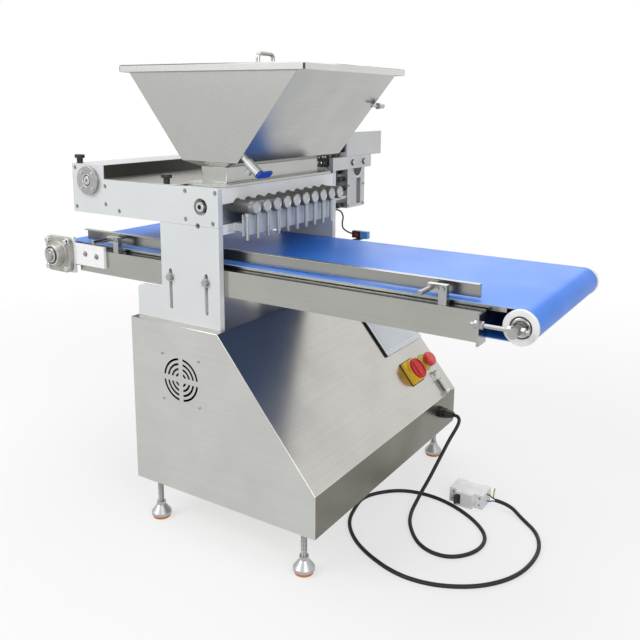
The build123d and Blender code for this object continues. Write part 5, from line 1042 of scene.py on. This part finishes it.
@dataclass
class Studio:
    """Camera, floor, lamps and background, in metres and degrees."""

    eye: Triple = (0.9577193, -1.516406, 0.9731647)
    yaw: float = 32.0699
    pitch: float = -11.3269
    roll: float = 0.5162
    lens: float = 42.616
    sensor: float = 36.0
    shift: Pair = (-0.01353, -0.106)
    nearest: float = 0.05
    floor_radius: float = 9.0
    floor_fade: Pair = (0.9, 2.4)
    floor_bounce: float = 0.6
    floor_tone: float = 0.33
    floor_glow: float = 0.6
    lamps: tuple[tuple[Triple, float, float], ...] = (
        ((-1.8, -2.6, 2.6), 2.2, 62.0),
        ((2.6, -1.8, 2.0), 1.8, 32.0),
        ((0.0, 0.2, 3.2), 2.4, 30.0),
        ((-0.6, 2.8, 2.0), 2.2, 14.0),
    )
    aim: Triple = (0.0, 0.0, 0.5)
    shade_strength: float = 0.5

    def set_camera(self) -> None:
        """Camera at the photograph's point of view."""
        yaw, pitch, roll = (math.radians(angle) for angle in (self.yaw, self.pitch, self.roll))
        level = Matrix.Rotation(yaw, 4, "Z") @ Matrix.Rotation(math.pi / 2 + pitch, 4, "X")
        lens = bpy.data.cameras.new("camera")
        lens.lens = self.lens
        lens.sensor_width = self.sensor
        lens.shift_x, lens.shift_y = self.shift
        lens.clip_start = self.nearest
        camera = linked("camera", lens)
        camera.matrix_world = Matrix.Translation(Vector(self.eye)) @ level @ Matrix.Rotation(roll, 4, "Z")
        bpy.context.scene.camera = camera

    def set_lamps(self) -> None:
        """Soft square lamps around the machine, each with its place, width and power."""
        for number, (place, width, power) in enumerate(self.lamps):
            lamp = bpy.data.lights.new(f"lamp_{number}", "AREA")
            lamp.shape = "SQUARE"
            lamp.size = width
            lamp.energy = power
            holder = linked(f"lamp_{number}", lamp)
            holder.location = place
            holder.rotation_euler = (Vector(self.aim) - Vector(place)).to_track_quat("-Z", "Y").to_euler()
            holder.visible_camera = False

    def seen_share(self, board: ShaderBoard) -> Socket:
        """One for rays that show the background: from the camera, a mirror or through glass.

        Args:
            board: Node tree under work.

        Returns:
            The share as an output.
        """
        path = board.add("LightPath").outputs
        share = path["Is Camera Ray"]
        for name in ("Is Glossy Ray", "Is Transmission Ray"):
            share = board.work_out("MAXIMUM", share, path[name])
        return share

    def set_world(self) -> None:
        """White background that lights the machine only softly."""
        world = bpy.data.worlds.new("white_room")
        world.use_nodes = True
        board = ShaderBoard(world.node_tree)
        background = world.node_tree.nodes["Background"].inputs
        board.feed(background["Color"], grey(1.0))
        strength = board.between(self.seen_share(board), (0.0, 1.0), self.shade_strength, 1.0)
        board.feed(background["Strength"], strength)
        bpy.context.scene.world = world

    def floor_material(self) -> bpy.types.Material:
        """Pale surface that keeps the shadow and fades into the background.

        Returns:
            The material.
        """
        material = bpy.data.materials.new("pale_floor")
        material.use_nodes = True
        material.node_tree.nodes.clear()
        board = ShaderBoard(material.node_tree)
        bounce = board.add("BsdfDiffuse", grey(self.floor_bounce)).outputs[0]
        pale = board.add("BsdfDiffuse", grey(self.floor_tone)).outputs[0]
        glow = board.add("Emission", Strength=self.floor_glow).outputs[0]
        shaded = board.add("AddShader", pale, glow).outputs[0]
        white = board.add("Emission", Strength=1.0).outputs[0]
        distance = board.add("VectorMath", board.add("TexCoord").outputs["Object"])
        distance.operation = "LENGTH"
        fade = board.between(distance.outputs["Value"], self.floor_fade, 0.0, 1.0)
        seen = board.add("MixShader", fade, shaded, white).outputs[0]
        mixed = board.add("MixShader", self.seen_share(board), bounce, seen).outputs[0]
        board.add("OutputMaterial", Surface=mixed)
        return material

    def set_floor(self) -> None:
        """Floor disc under the machine."""
        work = bmesh.new()
        bmesh.ops.create_circle(work, cap_ends=True, segments=96, radius=self.floor_radius)
        mesh = bpy.data.meshes.new("floor")
        work.to_mesh(mesh)
        work.free()
        mesh.materials.append(self.floor_material())
        floor = linked("floor", mesh)

    def build(self) -> None:
        """Set up everything around the machine."""
        bpy.context.scene.view_settings.view_transform = "Standard"
        self.set_camera()
        self.set_lamps()
        self.set_world()
        self.set_floor()


@dataclass
class Assembly(ABC):
    """Sub-assembly that is dressed in the shared workshop."""

    shop: Workshop

    def soften_plain(self, **widths: float) -> None:
        """Round the edges of nodes that show the finish of their slot, each by its own width."""
        for node, width in widths.items():
            self.shop.soften(node, width)

    @abstractmethod
    def dress(self) -> None:
        """Make and dress the pieces."""


@dataclass
class SupplyLead(Assembly):
    """Supply cord on the floor, its gland at the cabinet and the circuit breaker at its end."""

    radius: float = 0.0045  # this and the next two are metres
    length: float = 2.002
    core_radius: float = 0.0016
    floor_z: float = 4.6
    falling: tuple[Triple, ...] = (
        (243, 356, 161), (250, 356, 161), (258, 353.5, 159.5), (264, 346, 155), (266, 334, 147.5),
        (264, 316, 136), (260, 293, 120), (256, 266, 98), (251, 236, 72), (246.5, 204, 46),
        (242, 172, 25), (242, 140, 10),
    )
    lying: tuple[Pair, ...] = (
        (247, 105), (266, 55), (312, -3), (358, -24), (404, -16), (439, 29), (444, 82), (421, 125),
        (367, 167), (295, 197), (230, 201), (175, 183), (133, 138), (116, 97), (122, 56), (140, -12),
        (186, -67), (246, -105), (323, -132), (387, -130), (444, -109), (496, -72), (536, -18),
        (555, 43), (556, 118), (530, 181), (480, 222),
    )
    rising: tuple[Triple, ...] = ((440, 248, 16), (405, 248, 16))
    core_routes: tuple[tuple[Triple, ...], ...] = (
        ((407, 248, 13.5), (399, 248, 13.5), (391, 246, 9), (380, 246, 9)),
        ((407, 248, 18.5), (399, 248, 18.5), (391, 246, 27), (380, 246, 27)),
        ((407, 250.5, 16), (399, 250.5, 16), (396, 260.5, 28), (397, 264.5, 38)),
    )

    def cores(self) -> list[Piece]:
        """Three cores between the sheath and the breaker; the first stands for the node.

        Returns:
            The cores.
        """
        finishes = (Finishes.core_blue, Finishes.core_dark, Finishes.core_green)
        made = []
        for number, (route, finish) in enumerate(zip(self.core_routes, finishes)):
            core = routed(f"supply_core_{number}", route, self.core_radius, finish)
            stands_for = () if made else ("supply_cores",)
            made.append(self.shop.hand_over(core, ("machine", "core_blue"), *stands_for))
        return made

    def dress(self) -> None:
        """Make the lead and what hangs on it."""
        route = (*self.falling, *((x, y, self.floor_z) for x, y in self.lying), *self.rising)
        cord = routed("supply_lead", route, self.radius, Finishes.sheath)
        self.shop.hand_over(cord, ("machine", "cord_black"), "supply_cord")
        cores = self.cores()
        body = self.shop.soften("breaker_body", 0.9)
        toggle = self.shop.soften("breaker_toggle", 0.8)
        self.soften_plain(cable_gland=0.6)
        tuple(at(*route[0]))


@dataclass
class Cabinet(Assembly):
    """Sheet cabinet with its feet and fan."""

    foot_xs: Pair = (-249.0, 159.0)
    foot_ys: Pair = (-225.0, 424.0)
    thread_low: float = 35.0
    thread_high: float = 90.0
    thread_pitch: float = 1.75
    thread_depth: float = 0.7
    post_radius: float = 6.0
    front_wall_from: float = 0.95  # least cosine to the front of the upright front wall

    def sheet(self, centre: Vector, normal: Vector) -> int:
        """Zero for the side walls, two for the upright front wall, which gets a darker copy of the steel as
        painted shade, one for the other sheets.
        """
        if abs(normal.y) > MOSTLY:
            return 0
        return 2 if normal.x > self.front_wall_from else 1

    def foot_threads(self) -> None:
        """Screw threads of the four foot posts."""
        feet = [at(x, y, self.thread_low) for x in self.foot_xs for y in self.foot_ys]
        height = self.thread_high - self.thread_low
        sizes = {
            "Radius": self.post_radius * MILLI,
            "Height": height * MILLI,
            "Turns": height / self.thread_pitch,
            "Depth": self.thread_depth * MILLI,
            "Finish": Finishes.turned.material(),
        }
        self.shop.hand_over(self.shop.grow("foot_threads", "thread", sizes, feet), ("machine", "stainless"))

    def dress(self) -> None:
        """Dress the cabinet."""
        sheets = (Finishes.cabinet_side, Finishes.cabinet_slope, Finishes.cabinet_front_shade)
        self.shop.soften("cabinet_shell", 1.4, *sheets, shortest=60.0, paint=self.sheet)
        self.soften_plain(foot_posts=0.7, foot_pads=2.0)
        self.foot_threads()
        self.shop.keep("fan_frame", Finishes.black_plastic)
        self.shop.keep("fan_rotor", Finishes.fan_red)
        self.shop.keep("control_gear", Finishes.gear_grey)


@dataclass
class Console(Assembly):
    """Touch screen, main switch, emergency stop and draw latch on the slope."""

    slope_foot: Pair = (204.0, 197.0)
    switch_y: float = 309.0
    switch_up: float = 100.0
    # half width and thickness of the dark sheet of painted shade under the switch base
    shade_half: float = 33.5
    shade_thickness: float = 1.4
    stop_from_y: float = 355.0

    def front(self, centre: Vector, normal: Vector) -> int:
        """One for a face that looks out of the slope, zero for the rest."""
        return int(normal.dot(Vector(SLOPE_NORMAL)) > STRAIGHT)

    def base_colour(self, centre: Vector, normal: Vector) -> int:
        """One for the plate of the emergency stop, zero for the base of the main switch."""
        return int(centre.y > at(0, self.stop_from_y, 0).y)

    def switch_gasket(self) -> None:
        """Dark square sheet under the base of the main switch, put there as painted shade of the gap beneath
        the base.
        """
        corner = self.shade_half * math.sqrt(2)
        top = self.shade_thickness
        mesh = lathe([(0, 0), (corner, 0), (corner, 0.6 * top), (corner - 1, top), (0, top)], segments=4)
        mesh.transform(Matrix.Rotation(math.pi / 4, 4, "Z"))
        across, _, out = SLOPE_NORMAL
        foot_x, foot_z = self.slope_foot
        place = at(foot_x - self.switch_up * out, self.switch_y, foot_z + self.switch_up * across)
        turned_to(mesh, Facing.OUT_OF_SLOPE, place)
        self.shop.fit("switch_gasket", mesh, ("machine", "black_plastic"), Finishes.black_plastic)

    def dress(self) -> None:
        """Dress the controls."""
        soften = self.shop.soften
        soften("hmi_bezel", 2.0, Finishes.black_plastic, Finishes.panel_film, paint=self.front)
        soften("hmi_screen", 0.4)
        soften("switch_bases", 1.4, Finishes.yellow_plastic, Finishes.lime_plastic, paint=self.base_colour)
        self.switch_gasket()
        soften("switch_knob", 1.4)
        soften("estop_head", 0.8, Finishes.stop_red)
        soften("latch_lever", 0.4, Finishes.bright_steel)


@dataclass
class Portal(Assembly):
    """Uprights, head plates, covers and their screws, and the screws of the fan."""

    plate_out: float = 230.0
    seam_z: float = 712.0
    seam_half: float = 1.2
    sink: float = 5.5
    head_radius: float = 4.5
    head_height: float = 4.5
    screw_xz: tuple[Pair, ...] = (
        (-483, 815), (-483, 724), (-385, 777), (-385, 736), (-342, 724),
        (-142, 784), (-142, 724), (-60, 784), (-67, 720),
    )
    fan_xs: Pair = (-200.5, -95.5)
    fan_zs: Pair = (317.5, 422.5)
    fan_wall: float = -253.0
    latch_from_x: float = 0.1  # metres

    def in_seam(self, centre: Vector, normal: Vector) -> int:
        """One in the seam between an upright and its head plate, where a dark grey is painted as the gap's
        shade, zero elsewhere.
        """
        return int(abs(centre.z - self.seam_z * MILLI) < self.seam_half * MILLI)

    def faces_front(self, centre: Vector, normal: Vector) -> int:
        """One for a face that looks to the front, zero for the rest."""
        return int(normal.x > MOSTLY)

    def screws(self) -> None:
        """Sunk screws of both head plates, fan screws, and the fixed half of the latch."""
        seat = self.plate_out - self.sink
        part = socket_screw(self.head_radius, self.head_height)
        for name, side, facing in (("near", -1, Facing.TO_NEAR), ("far", 1, Facing.TO_FAR)):
            points = [at(x, side * seat, z) for x, z in self.screw_xz]
            self.shop.scatter(f"{name}_plate_screws", part, points, facing, Finishes.turned, ON_MACHINE)
        pan = lathe([(0, 0), (4, 0), (3.7, 0.9), (2.6, 1.5), (1.2, 1.55), (1.0, 0.6), (0, 0.6)], segments=28)
        points = [at(x, self.fan_wall, z) for z in self.fan_zs for x in self.fan_xs]
        self.shop.scatter("fan_screws", pan, points, Facing.TO_NEAR, Finishes.turned, ON_MACHINE)
        self.shop.soften("frame_screws", 0.5, only=lambda centre: centre.x > self.latch_from_x)

    def dress(self) -> None:
        """Dress the portal."""
        soften = self.shop.soften
        for node in ("uprights", "head_plates"):
            soften(node, 1.0, Finishes.plate, Finishes.seam, paint=self.in_seam)
        # the ties' front faces get the near-white of painted light
        soften("head_ties", 0.8, Finishes.tie, Finishes.front_plate_painted_light, paint=self.faces_front)
        # the drive cover's front faces get the dark steel of painted shade
        sheets = (Finishes.white_cover, Finishes.step_shade_steel)
        soften("drive_cover", 0.9, *sheets, shortest=20.0, paint=self.faces_front)
        soften("piston_cover", 0.8, Finishes.cover_steel, shortest=20.0)
        self.soften_plain(knob_back_near=1.3, knob_back_far=1.3, knob_front_near=1.3, knob_front_far=1.3)
        self.screws()


@dataclass
class Hopper(Assembly):
    """Funnel hopper with its lid, drain valve and probe."""

    middle_x: float = -100.0
    rim_half_x: float = 244.0
    rim_half_y: float = 207.0
    rim_low: float = 1030.5
    rim_high: float = 1043.5
    gap_radius: float = 1.6
    upright_tilt: float = 0.3  # largest rise in the direction of an upright face

    def on_rim(self, centre: Vector, normal: Vector) -> int:
        """One for the upright faces of the turned-down rim, which get a lighter copy of the hopper steel as
        a painted highlight, zero for the rest.
        """
        return int(centre.z > self.rim_low * MILLI and abs(normal.z) < self.upright_tilt)

    def corner_gaps(self) -> None:
        """Dark beads in the open corners of the turned-down rim, as painted shade of the gaps there."""
        rise, wide = self.rim_high - self.rim_low, self.gap_radius
        bead = lathe([(0, 0), (wide, 0.6), (wide, rise - 0.6), (0, rise)], segments=12)
        points = [
            at(self.middle_x + side * self.rim_half_x, end * self.rim_half_y, self.rim_low)
            for side in BOTH_SIDES
            for end in BOTH_SIDES
        ]
        home = ("machine", "stainless")
        self.shop.scatter("rim_corner_beads", bead, points, Facing.UP, Finishes.dark_steel, home)

    def dress(self) -> None:
        """Dress the hopper."""
        self.corner_gaps()
        sheets = (Finishes.hopper, Finishes.hopper_rim_highlight)
        self.shop.soften("hopper", 0.8, *sheets, shortest=20.0, paint=self.on_rim)
        self.shop.soften("hopper_lid", 0.7, Finishes.hopper, shortest=20.0)
        self.soften_plain(hopper_fittings=0.6, drain_lever=1.2)


@dataclass
class OutletRow(Assembly):
    """Outlet tubes, screw caps and nozzles of the ten stations."""

    stations: int = 10
    pitch: float = 37.0
    axis_z: float = 753.0
    cap_back: float = -14.0
    cap_radius: float = 15.5
    cap_length: float = 14.0
    spool_x: float = -100.0
    spool_near: float = -229.0
    spool_slim: float = 0.985

    def spool_end(self) -> None:
        """Turned near end of the valve spool with its centre hole."""
        place = at(self.spool_x, self.spool_near, self.axis_z)
        profile = [(10.6, -1), (10.6, 3.6), (9.8, 4.4), (5.2, 4.4), (4.8, 4.0), (4.6, 0.6), (0, 0.4)]
        mesh = turned_to(lathe(profile), Facing.TO_NEAR, place)
        metals = (Finishes.bright_steel, Finishes.dark_steel)
        # painted shade: the centre hole is coloured dark steel
        hole = ring_painter(place, (0.0, 4.7))
        self.shop.fit("spool_near_end", mesh, ("spool", "machined_steel"), *metals, paint=hole)

    def cap_rim(self) -> Mesh:
        """Gripped body of a screw cap with a raised rim, pointing to the front.

        Returns:
            The mesh, with its foot at the origin.
        """
        rim, end = self.cap_radius, self.cap_length
        profile = [(0, 0), (rim - 1, 0), (rim, 1), (rim, end - 2), (rim - 1, end - 0.6)]
        profile += [(rim - 1.8, end - 0.6), (rim - 2.2, end - 1.6), (0, end - 1.6)]
        return turned_to(lathe(profile, segments=72, flutes=(2, 3)), Facing.TO_FRONT, ORIGIN)

    def cap_face(self) -> Mesh:
        """Bright face of a screw cap inside its rim, dished in the middle.

        Returns:
            The mesh, with the foot of its cap at the origin.
        """
        edge, end = self.cap_radius - 2.4, self.cap_length
        profile = [(0, end - 2.4), (edge, end - 2.4), (edge, end - 0.4), (edge - 0.4, end), (edge - 2, end)]
        profile += [(edge - 2.6, end - 0.6), (0, end - 0.8)]
        return turned_to(lathe(profile, segments=48), Facing.TO_FRONT, ORIGIN)

    def caps(self) -> None:
        """Row of screw caps on the outlet tubes."""
        first = at(self.cap_back, -(self.stations - 1) / 2 * self.pitch, self.axis_z)
        layout = (self.stations, first, Vector((0.0, self.pitch, 0.0)) * MILLI)
        home = ("machine", "stainless")
        # the cap bodies get the darker steel of painted shade, the faces the plain steel
        self.shop.row("screw_caps", self.cap_rim(), *layout, Finishes.cap_steel, home, "outlet_caps")
        self.shop.row("cap_faces", self.cap_face(), *layout, Finishes.fitting, home)

    def dress(self) -> None:
        """Dress the outlets; the spool is a little slimmer than its bore, so that it turns freely."""
        self.caps()
        # the outlet tubes get the darkened steel of painted shade
        self.shop.soften("outlet_tubes", 0.6, Finishes.tube_steel)
        self.shop.soften("nozzles", 0.4)
        self.shop.soften("drip_plate", 0.6, Finishes.satin)
        self.shop.soften("valve_block", 0.8)
        spool = self.shop.soften("valve_spool", 0.5)
        axis = at(self.spool_x, 0.0, self.axis_z)
        slim = Matrix.Diagonal((self.spool_slim, 1.0, self.spool_slim, 1.0))
        spool.data.transform(Matrix.Translation(axis) @ slim @ Matrix.Translation(-axis))
        self.spool_end()


@dataclass
class PistonDrive(Assembly):
    """Pistons, racks, drive shaft with its bearings, and the servo motor."""

    shaft_x: float = -436.0
    shaft_z: float = 788.0
    flange_face: float = -238.0
    screw_circle: float = 25.0
    screw_head: float = 3.9
    screw_height: float = 2.6

    def shaft_end(self) -> None:
        """Grooved end of the drive shaft in the near bearing flange."""
        place = at(self.shaft_x, self.flange_face, self.shaft_z)
        profile = [(14.6, -0.3), (14.6, 0.5), (12.8, 0.5), (12.5, 0.1), (10.2, 0.1), (9.9, 0.8), (9.3, 1.2)]
        profile += [(3.0, 1.2), (2.7, 0.2), (0, 0.1)]
        mesh = turned_to(lathe(profile), Facing.TO_NEAR, place)
        # painted shade: black in the sunk ring and in the centre hole
        metals = (Finishes.bright_steel, Finishes.black_plastic)
        grooves = ring_painter(place, (10.1, 12.6), (0.0, 2.8))
        self.shop.fit("drive_shaft_end", mesh, ("pinion_shaft", "machined_steel"), *metals, paint=grooves)

    def flange_screws(self) -> None:
        """Screws of the near bearing flange."""
        reach = self.screw_circle / math.sqrt(2)
        points = [
            at(self.shaft_x + side * reach, self.flange_face, self.shaft_z + rise * reach)
            for side in BOTH_SIDES
            for rise in BOTH_SIDES
        ]
        screw = socket_screw(self.screw_head, self.screw_height)
        self.shop.scatter("flange_screws", screw, points, Facing.TO_NEAR, Finishes.bright_steel, ON_MACHINE)

    def dress(self) -> None:
        """Dress the piston drive."""
        self.shop.keep("pistons", Finishes.turned)
        self.shop.keep("piston_cylinders", Finishes.tie)
        self.shop.keep("piston_crossbar", Finishes.tie)
        self.soften_plain(drive_shaft=0.5, shaft_bearings=0.7)
        self.shaft_end()
        self.flange_screws()
        self.soften_plain(servo_motor=1.2)


@dataclass
class ValveActuator(Assembly):
    """Actuator block on the far side with its bar, valve box and air lines."""

    front_x: float = -64.0
    near_y: float = 308.0
    disc_yz: Pair = (358.0, 797.0)
    disc_radius: float = 22.0
    bar_front: float = -52.0
    bar_screw_ys: Pair = (314.0, 372.0)
    bar_middle_z: float = 814.0
    front_screw_ys: Pair = (314.0, 392.0)
    front_screw_zs: Pair = (752.0, 699.0)
    front_screw: Pair = (3.4, 2.4)
    hose_radius: float = 0.003  # metres
    valve_length: float = 58.0
    valve_xz: Pair = (-108.0, 821.0)
    fitting_length: float = 32.0
    fitting_xz: tuple[Pair, ...] = ((-76.0, 770.0), (-80.0, 700.0), (-74.0, 745.0))
    hoses: tuple[tuple[Triple, ...], ...] = (
        (
            (-108, 252, 821), (-108, 246, 821), (-104, 238, 828), (-100, 240, 850),
            (-100, 258, 872), (-100, 284, 872),
        ),
        (
            (-76, 278, 770), (-76, 262, 771), (-74, 248, 782), (-72, 244, 812),
            (-70, 258, 846), (-70, 284, 848),
        ),
        (
            (-80, 278, 700), (-82, 258, 701), (-86, 244, 712), (-84, 240, 735),
            (-80, 241, 770), (-78, 245, 815), (-80, 262, 848), (-80, 284, 850),
        ),
        (
            (-74, 278, 745), (-74, 268, 745), (-70, 260, 752), (-68, 258, 780),
            (-68, 262, 830), (-68, 284, 862),
        ),
    )
    manifold: tuple[Triple, Triple] = ((-120.0, 218.5, 792.8), (-74.0, 237.0, 805.0))
    manifold_stub_xs: tuple[float, ...] = (-113.0, -101.0, -90.0, -80.0)
    manifold_stub_y: float = 228.0
    cable_plate: tuple[Triple, Triple] = ((-84.0, 276.0, 843.0), (-57.0, 285.0, 868.0))
    block_rounding: float = 1.2

    def front_rings(self) -> None:
        """Pale ring around the dark disc, dark washers under the bar's screws, and the cover's screws."""
        scatter = self.shop.scatter
        inner = self.disc_radius
        ring = lathe([(inner, -1), (inner, 0.9), (inner + 3, 0.9), (inner + 3.4, -1)], segments=56)
        turned_to(ring, Facing.TO_FRONT, at(self.front_x, *self.disc_yz))
        # the ring gets the near-white of painted light
        self.shop.fit("disc_ring", ring, ("machine", "aluminium"), Finishes.front_plate_painted_light)
        washer = lathe([(5.4, -0.5), (5.4, 1.2), (8.0, 1.2), (8.6, 0.6), (8.6, -0.5)], segments=28)
        points = [at(self.bar_front, y, self.bar_middle_z) for y in self.bar_screw_ys]
        scatter("bar_washers", washer, points, Facing.TO_FRONT, Finishes.dark_steel, ON_MACHINE)
        points = [at(self.front_x, y, z) for y in self.front_screw_ys for z in self.front_screw_zs]
        screw = socket_screw(*self.front_screw)
        scatter("actuator_screws", screw, points, Facing.TO_FRONT, Finishes.turned, ON_MACHINE)

    def throttle(self) -> None:
        """Throttle valve with its red release collar."""
        valve_x, valve_z = self.valve_xz
        place = at(valve_x, self.near_y, valve_z)
        end = self.valve_length
        body = [(0, -1), (8, -1), (8, 8), (6, 9), (6, 24), (9, 25), (9, 44)]
        body += [(6.5, 46), (6.5, end - 8), (0, end - 8)]
        collar = [(3, end - 9), (6.6, end - 9), (7, end - 7), (7, end - 4)]
        collar += [(6, end - 2), (4, end - 1), (3, end - 2)]
        parts = (
            ("throttle_valve", body, ON_MACHINE, Finishes.turned),
            ("throttle_collar", collar, ("machine", "red_plastic"), Finishes.dark_red),
        )
        for name, profile, home, finish in parts:
            mesh = turned_to(lathe(profile, segments=24), Facing.TO_NEAR, place)
            self.shop.fit(name, mesh, home, finish)

    def air_parts(self) -> None:
        """Push-in fittings, air manifold with its stubs, cable plate and the hoses to the valve box."""
        plastic = ("machine", "black_plastic")
        out = self.fitting_length
        profile = [(0, -1), (7, -1), (7, 9), (5, 10), (5, 16), (8, 17), (8, out - 4), (5, out), (0, out)]
        fitting = lathe(profile, segments=6)
        points = [at(x, self.near_y, z) for x, z in self.fitting_xz]
        self.shop.scatter("hose_fittings", fitting, points, Facing.TO_NEAR, Finishes.black_plastic, plastic)
        blocks = (
            ("air_manifold", self.manifold, ("machine", "aluminium"), Finishes.tie),
            ("cable_plate", self.cable_plate, plastic, Finishes.black_plastic),
        )
        for name, (low, high), home, finish in blocks:
            block = rounded_block(at(*low), at(*high), self.block_rounding)
            self.shop.fit(name, block, home, finish)
        profile = [(0, -1), (4.6, -1), (4.6, 9), (3.4, 10), (3.4, 14), (5.2, 15), (5.2, 23), (0, 24)]
        stub = lathe(profile, segments=12)
        _, (_, _, top) = self.manifold
        points = [at(x, self.manifold_stub_y, top) for x in self.manifold_stub_xs]
        self.shop.scatter("manifold_stubs", stub, points, Facing.UP, Finishes.dark_steel, ON_MACHINE)
        for number, route in enumerate(self.hoses):
            hose = routed(f"air_hose_{number}", route, self.hose_radius, Finishes.black_plastic)
            self.shop.hand_over(hose, plastic)

    def dress(self) -> None:
        """Dress the actuator."""
        self.soften_plain(actuator_body=0.8, actuator_bracket=0.8)
        self.shop.soften("valve_box", 1.2, shortest=20.0)
        self.soften_plain(pneumatics=0.5)
        self.shop.keep("actuator_rack", Finishes.turned)
        self.front_rings()
        self.throttle()
        self.air_parts()


@dataclass
class Conveyor(Assembly):
    """Rails, belt, rollers, bearings, side guide, sensor and gear motor."""

    sensor_cap: tuple[Triple, Triple] = ((-3.0, 272.3, 621.5), (17.6, 287.7, 640.5))
    sensor_window: tuple[Triple, Triple] = ((-19.0, 272.2, 626.5), (-10.0, 274.0, 635.5))
    cover_rounding: float = 0.8
    axle_x: float = -556.0
    axle_z: float = 602.0
    housing_face: float = -253.5
    flange_face: float = -235.5
    bolt_reach: float = 22.0
    bracket_face: float = 223.5
    proud: float = 0.2
    idler_x: float = 583.5
    dish_y: float = 207.0
    motor_start: float = -505.0
    motor_y: float = 286.0
    motor_radius: float = 32.0
    motor_ribs: int = 9
    rib_pitch: float = 9.0
    rib_height: float = 2.0

    def belt_side(self, centre: Vector, normal: Vector) -> int:
        """One for the belt's cut edges, two for what looks down, which gets a darker blue as painted shade,
        zero for the rest.
        """
        if abs(normal.y) > MOSTLY:
            return 1
        return 2 if normal.z < -STRAIGHT else 0

    def bolt_heads(self, centre: Vector, normal: Vector) -> int:
        """One for the corner bolts of the near bearing housing, zero for the rest."""
        middle = at(self.axle_x, self.flange_face, self.axle_z)
        reach = min(abs(centre.x - middle.x), abs(centre.z - middle.z))
        return int(centre.y < middle.y - self.proud * MILLI and reach > self.bolt_reach * MILLI)

    def dome_bolts(self, centre: Vector, normal: Vector) -> int:
        """One for what stands out of the brackets' outer faces, zero for the rest."""
        return int(abs(centre.y / MILLI - BELT_MIDDLE_MM) > self.bracket_face + self.proud)

    def sensor_covers(self) -> None:
        """Blue cap and red window of the photoelectric sensor."""
        covers = (
            ("sensor_cap", self.sensor_cap, Finishes.sensor_blue),
            ("sensor_window", self.sensor_window, Finishes.dark_red),
        )
        for name, (low, high), finish in covers:
            block = rounded_block(at(*low), at(*high), self.cover_rounding)
            self.shop.fit(name, block, ("conveyor", "black_plastic"), finish)

    def bearing_rings(self) -> None:
        """Rings and turning collar of the near bearing."""
        metals = (Finishes.bright_steel, Finishes.black_plastic)
        place = at(self.axle_x, self.housing_face, self.axle_z)
        race = [(24.6, -0.5), (24.6, 1.2), (24.0, 1.8), (21.4, 1.8), (21.0, 0.3), (18.2, 0.3), (17.8, -0.5)]
        collar = [(17.2, -0.3), (17.2, 4.4), (16.4, 5.2), (13.6, 5.2), (13.2, 4.6), (12.2, 4.6), (11.8, 5.2)]
        collar += [(10.6, 5.2), (10.1, 4.4)]
        rings = (
            ("bearing_race", race, ("conveyor", "cast_grey"), (18.0, 21.2)),
            ("bearing_collar", collar, ("belt_drive", "machined_steel"), (12.0, 13.4)),
        )
        for name, profile, home, groove in rings:
            mesh = turned_to(lathe(profile, segments=56), Facing.TO_NEAR, place)
            self.shop.fit(name, mesh, home, *metals, paint=ring_painter(place, groove))

    def idler_bearings(self) -> None:
        """Bearings in the dished ends of the idler."""
        metals = (Finishes.bright_steel, Finishes.dark_steel)
        seal = [(19.7, -0.3), (19.7, 0.7), (17.0, 0.7), (16.8, 1.8), (16.2, 2.2), (12.6, 2.2), (12.2, 1.2)]
        seal += [(10.8, 1.2), (10.4, 2.0), (9.0, 2.0), (8.9, 0)]
        for side, facing in ((-1, Facing.TO_NEAR), (1, Facing.TO_FAR)):
            place = at(self.idler_x, side * self.dish_y, self.axle_z)
            name = f"idler_bearing_{facing.name.lower()}"
            mesh = turned_to(lathe(seal), facing, place)
            # painted shade: dark steel in the sunk rings beside the seal
            grooves = ring_painter(place, (17.4, 19.8), (10.7, 12.4))
            self.shop.fit(name, mesh, ("idler", "machined_steel"), *metals, paint=grooves)

    def motor_fins(self) -> None:
        """Cooling ribs around the conveyor motor."""
        root, out = self.motor_radius - 1, self.motor_radius + self.rib_height
        profile = [(root, 0), (out, 0.3), (out, 2.2), (root, 2.5)]
        rib = turned_to(lathe(profile, segments=48), Facing.TO_FRONT, ORIGIN)
        first = at(self.motor_start, self.motor_y, self.axle_z)
        step = Vector((self.rib_pitch, 0.0, 0.0)) * MILLI
        home = ("conveyor", "motor_grey")
        self.shop.row("motor_ribs", rib, self.motor_ribs, first, step, Finishes.motor_paint, home)

    def dress(self) -> None:
        """Dress the conveyor."""
        soften = self.shop.soften
        sides = (Finishes.belt, Finishes.belt_edge, Finishes.belt_painted_shade)
        soften("belt", 0.5, *sides, paint=self.belt_side)
        soften("conveyor_rails", 0.8, Finishes.rail)
        soften("guide_near", 0.6, Finishes.guide)
        soften("belt_bed", 0.6, Finishes.rail)
        # the brackets get the near-white of painted light, their bolts plain bolt steel
        soften("drive_brackets", 1.0, Finishes.front_plate_painted_light, Finishes.bolt_steel, paint=self.dome_bolts)
        soften("roller_bearings", 1.6, Finishes.casting, Finishes.bright_steel, paint=self.bolt_heads)
        self.soften_plain(conveyor_hardware=0.6, drive_roller=0.8, idler_roller=1.2)
        self.soften_plain(conveyor_motor=1.4, photo_sensor=0.6)
        self.sensor_covers()
        self.bearing_rings()
        self.idler_bearings()
        self.motor_fins()


ASSEMBLIES: tuple[type[Assembly], ...] = (
    SupplyLead,
    Cabinet,
    Console,
    Portal,
    Hopper,
    OutletRow,
    PistonDrive,
    ValveActuator,
    Conveyor,
)


def main() -> None:
    """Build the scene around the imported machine."""
    logging.basicConfig(level=logging.INFO, format="%(name)s: %(message)s")
    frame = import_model()
    Studio().build()
    shop = Workshop(frame)
    for assembly in ASSEMBLIES:
        LOG.info("dressing %s", assembly.__name__)
        assembly(shop).dress()
    for node in sorted(shop.waiting):
        LOG.warning("%s has no finish yet", node)


if __name__ == "__main__":
    main()
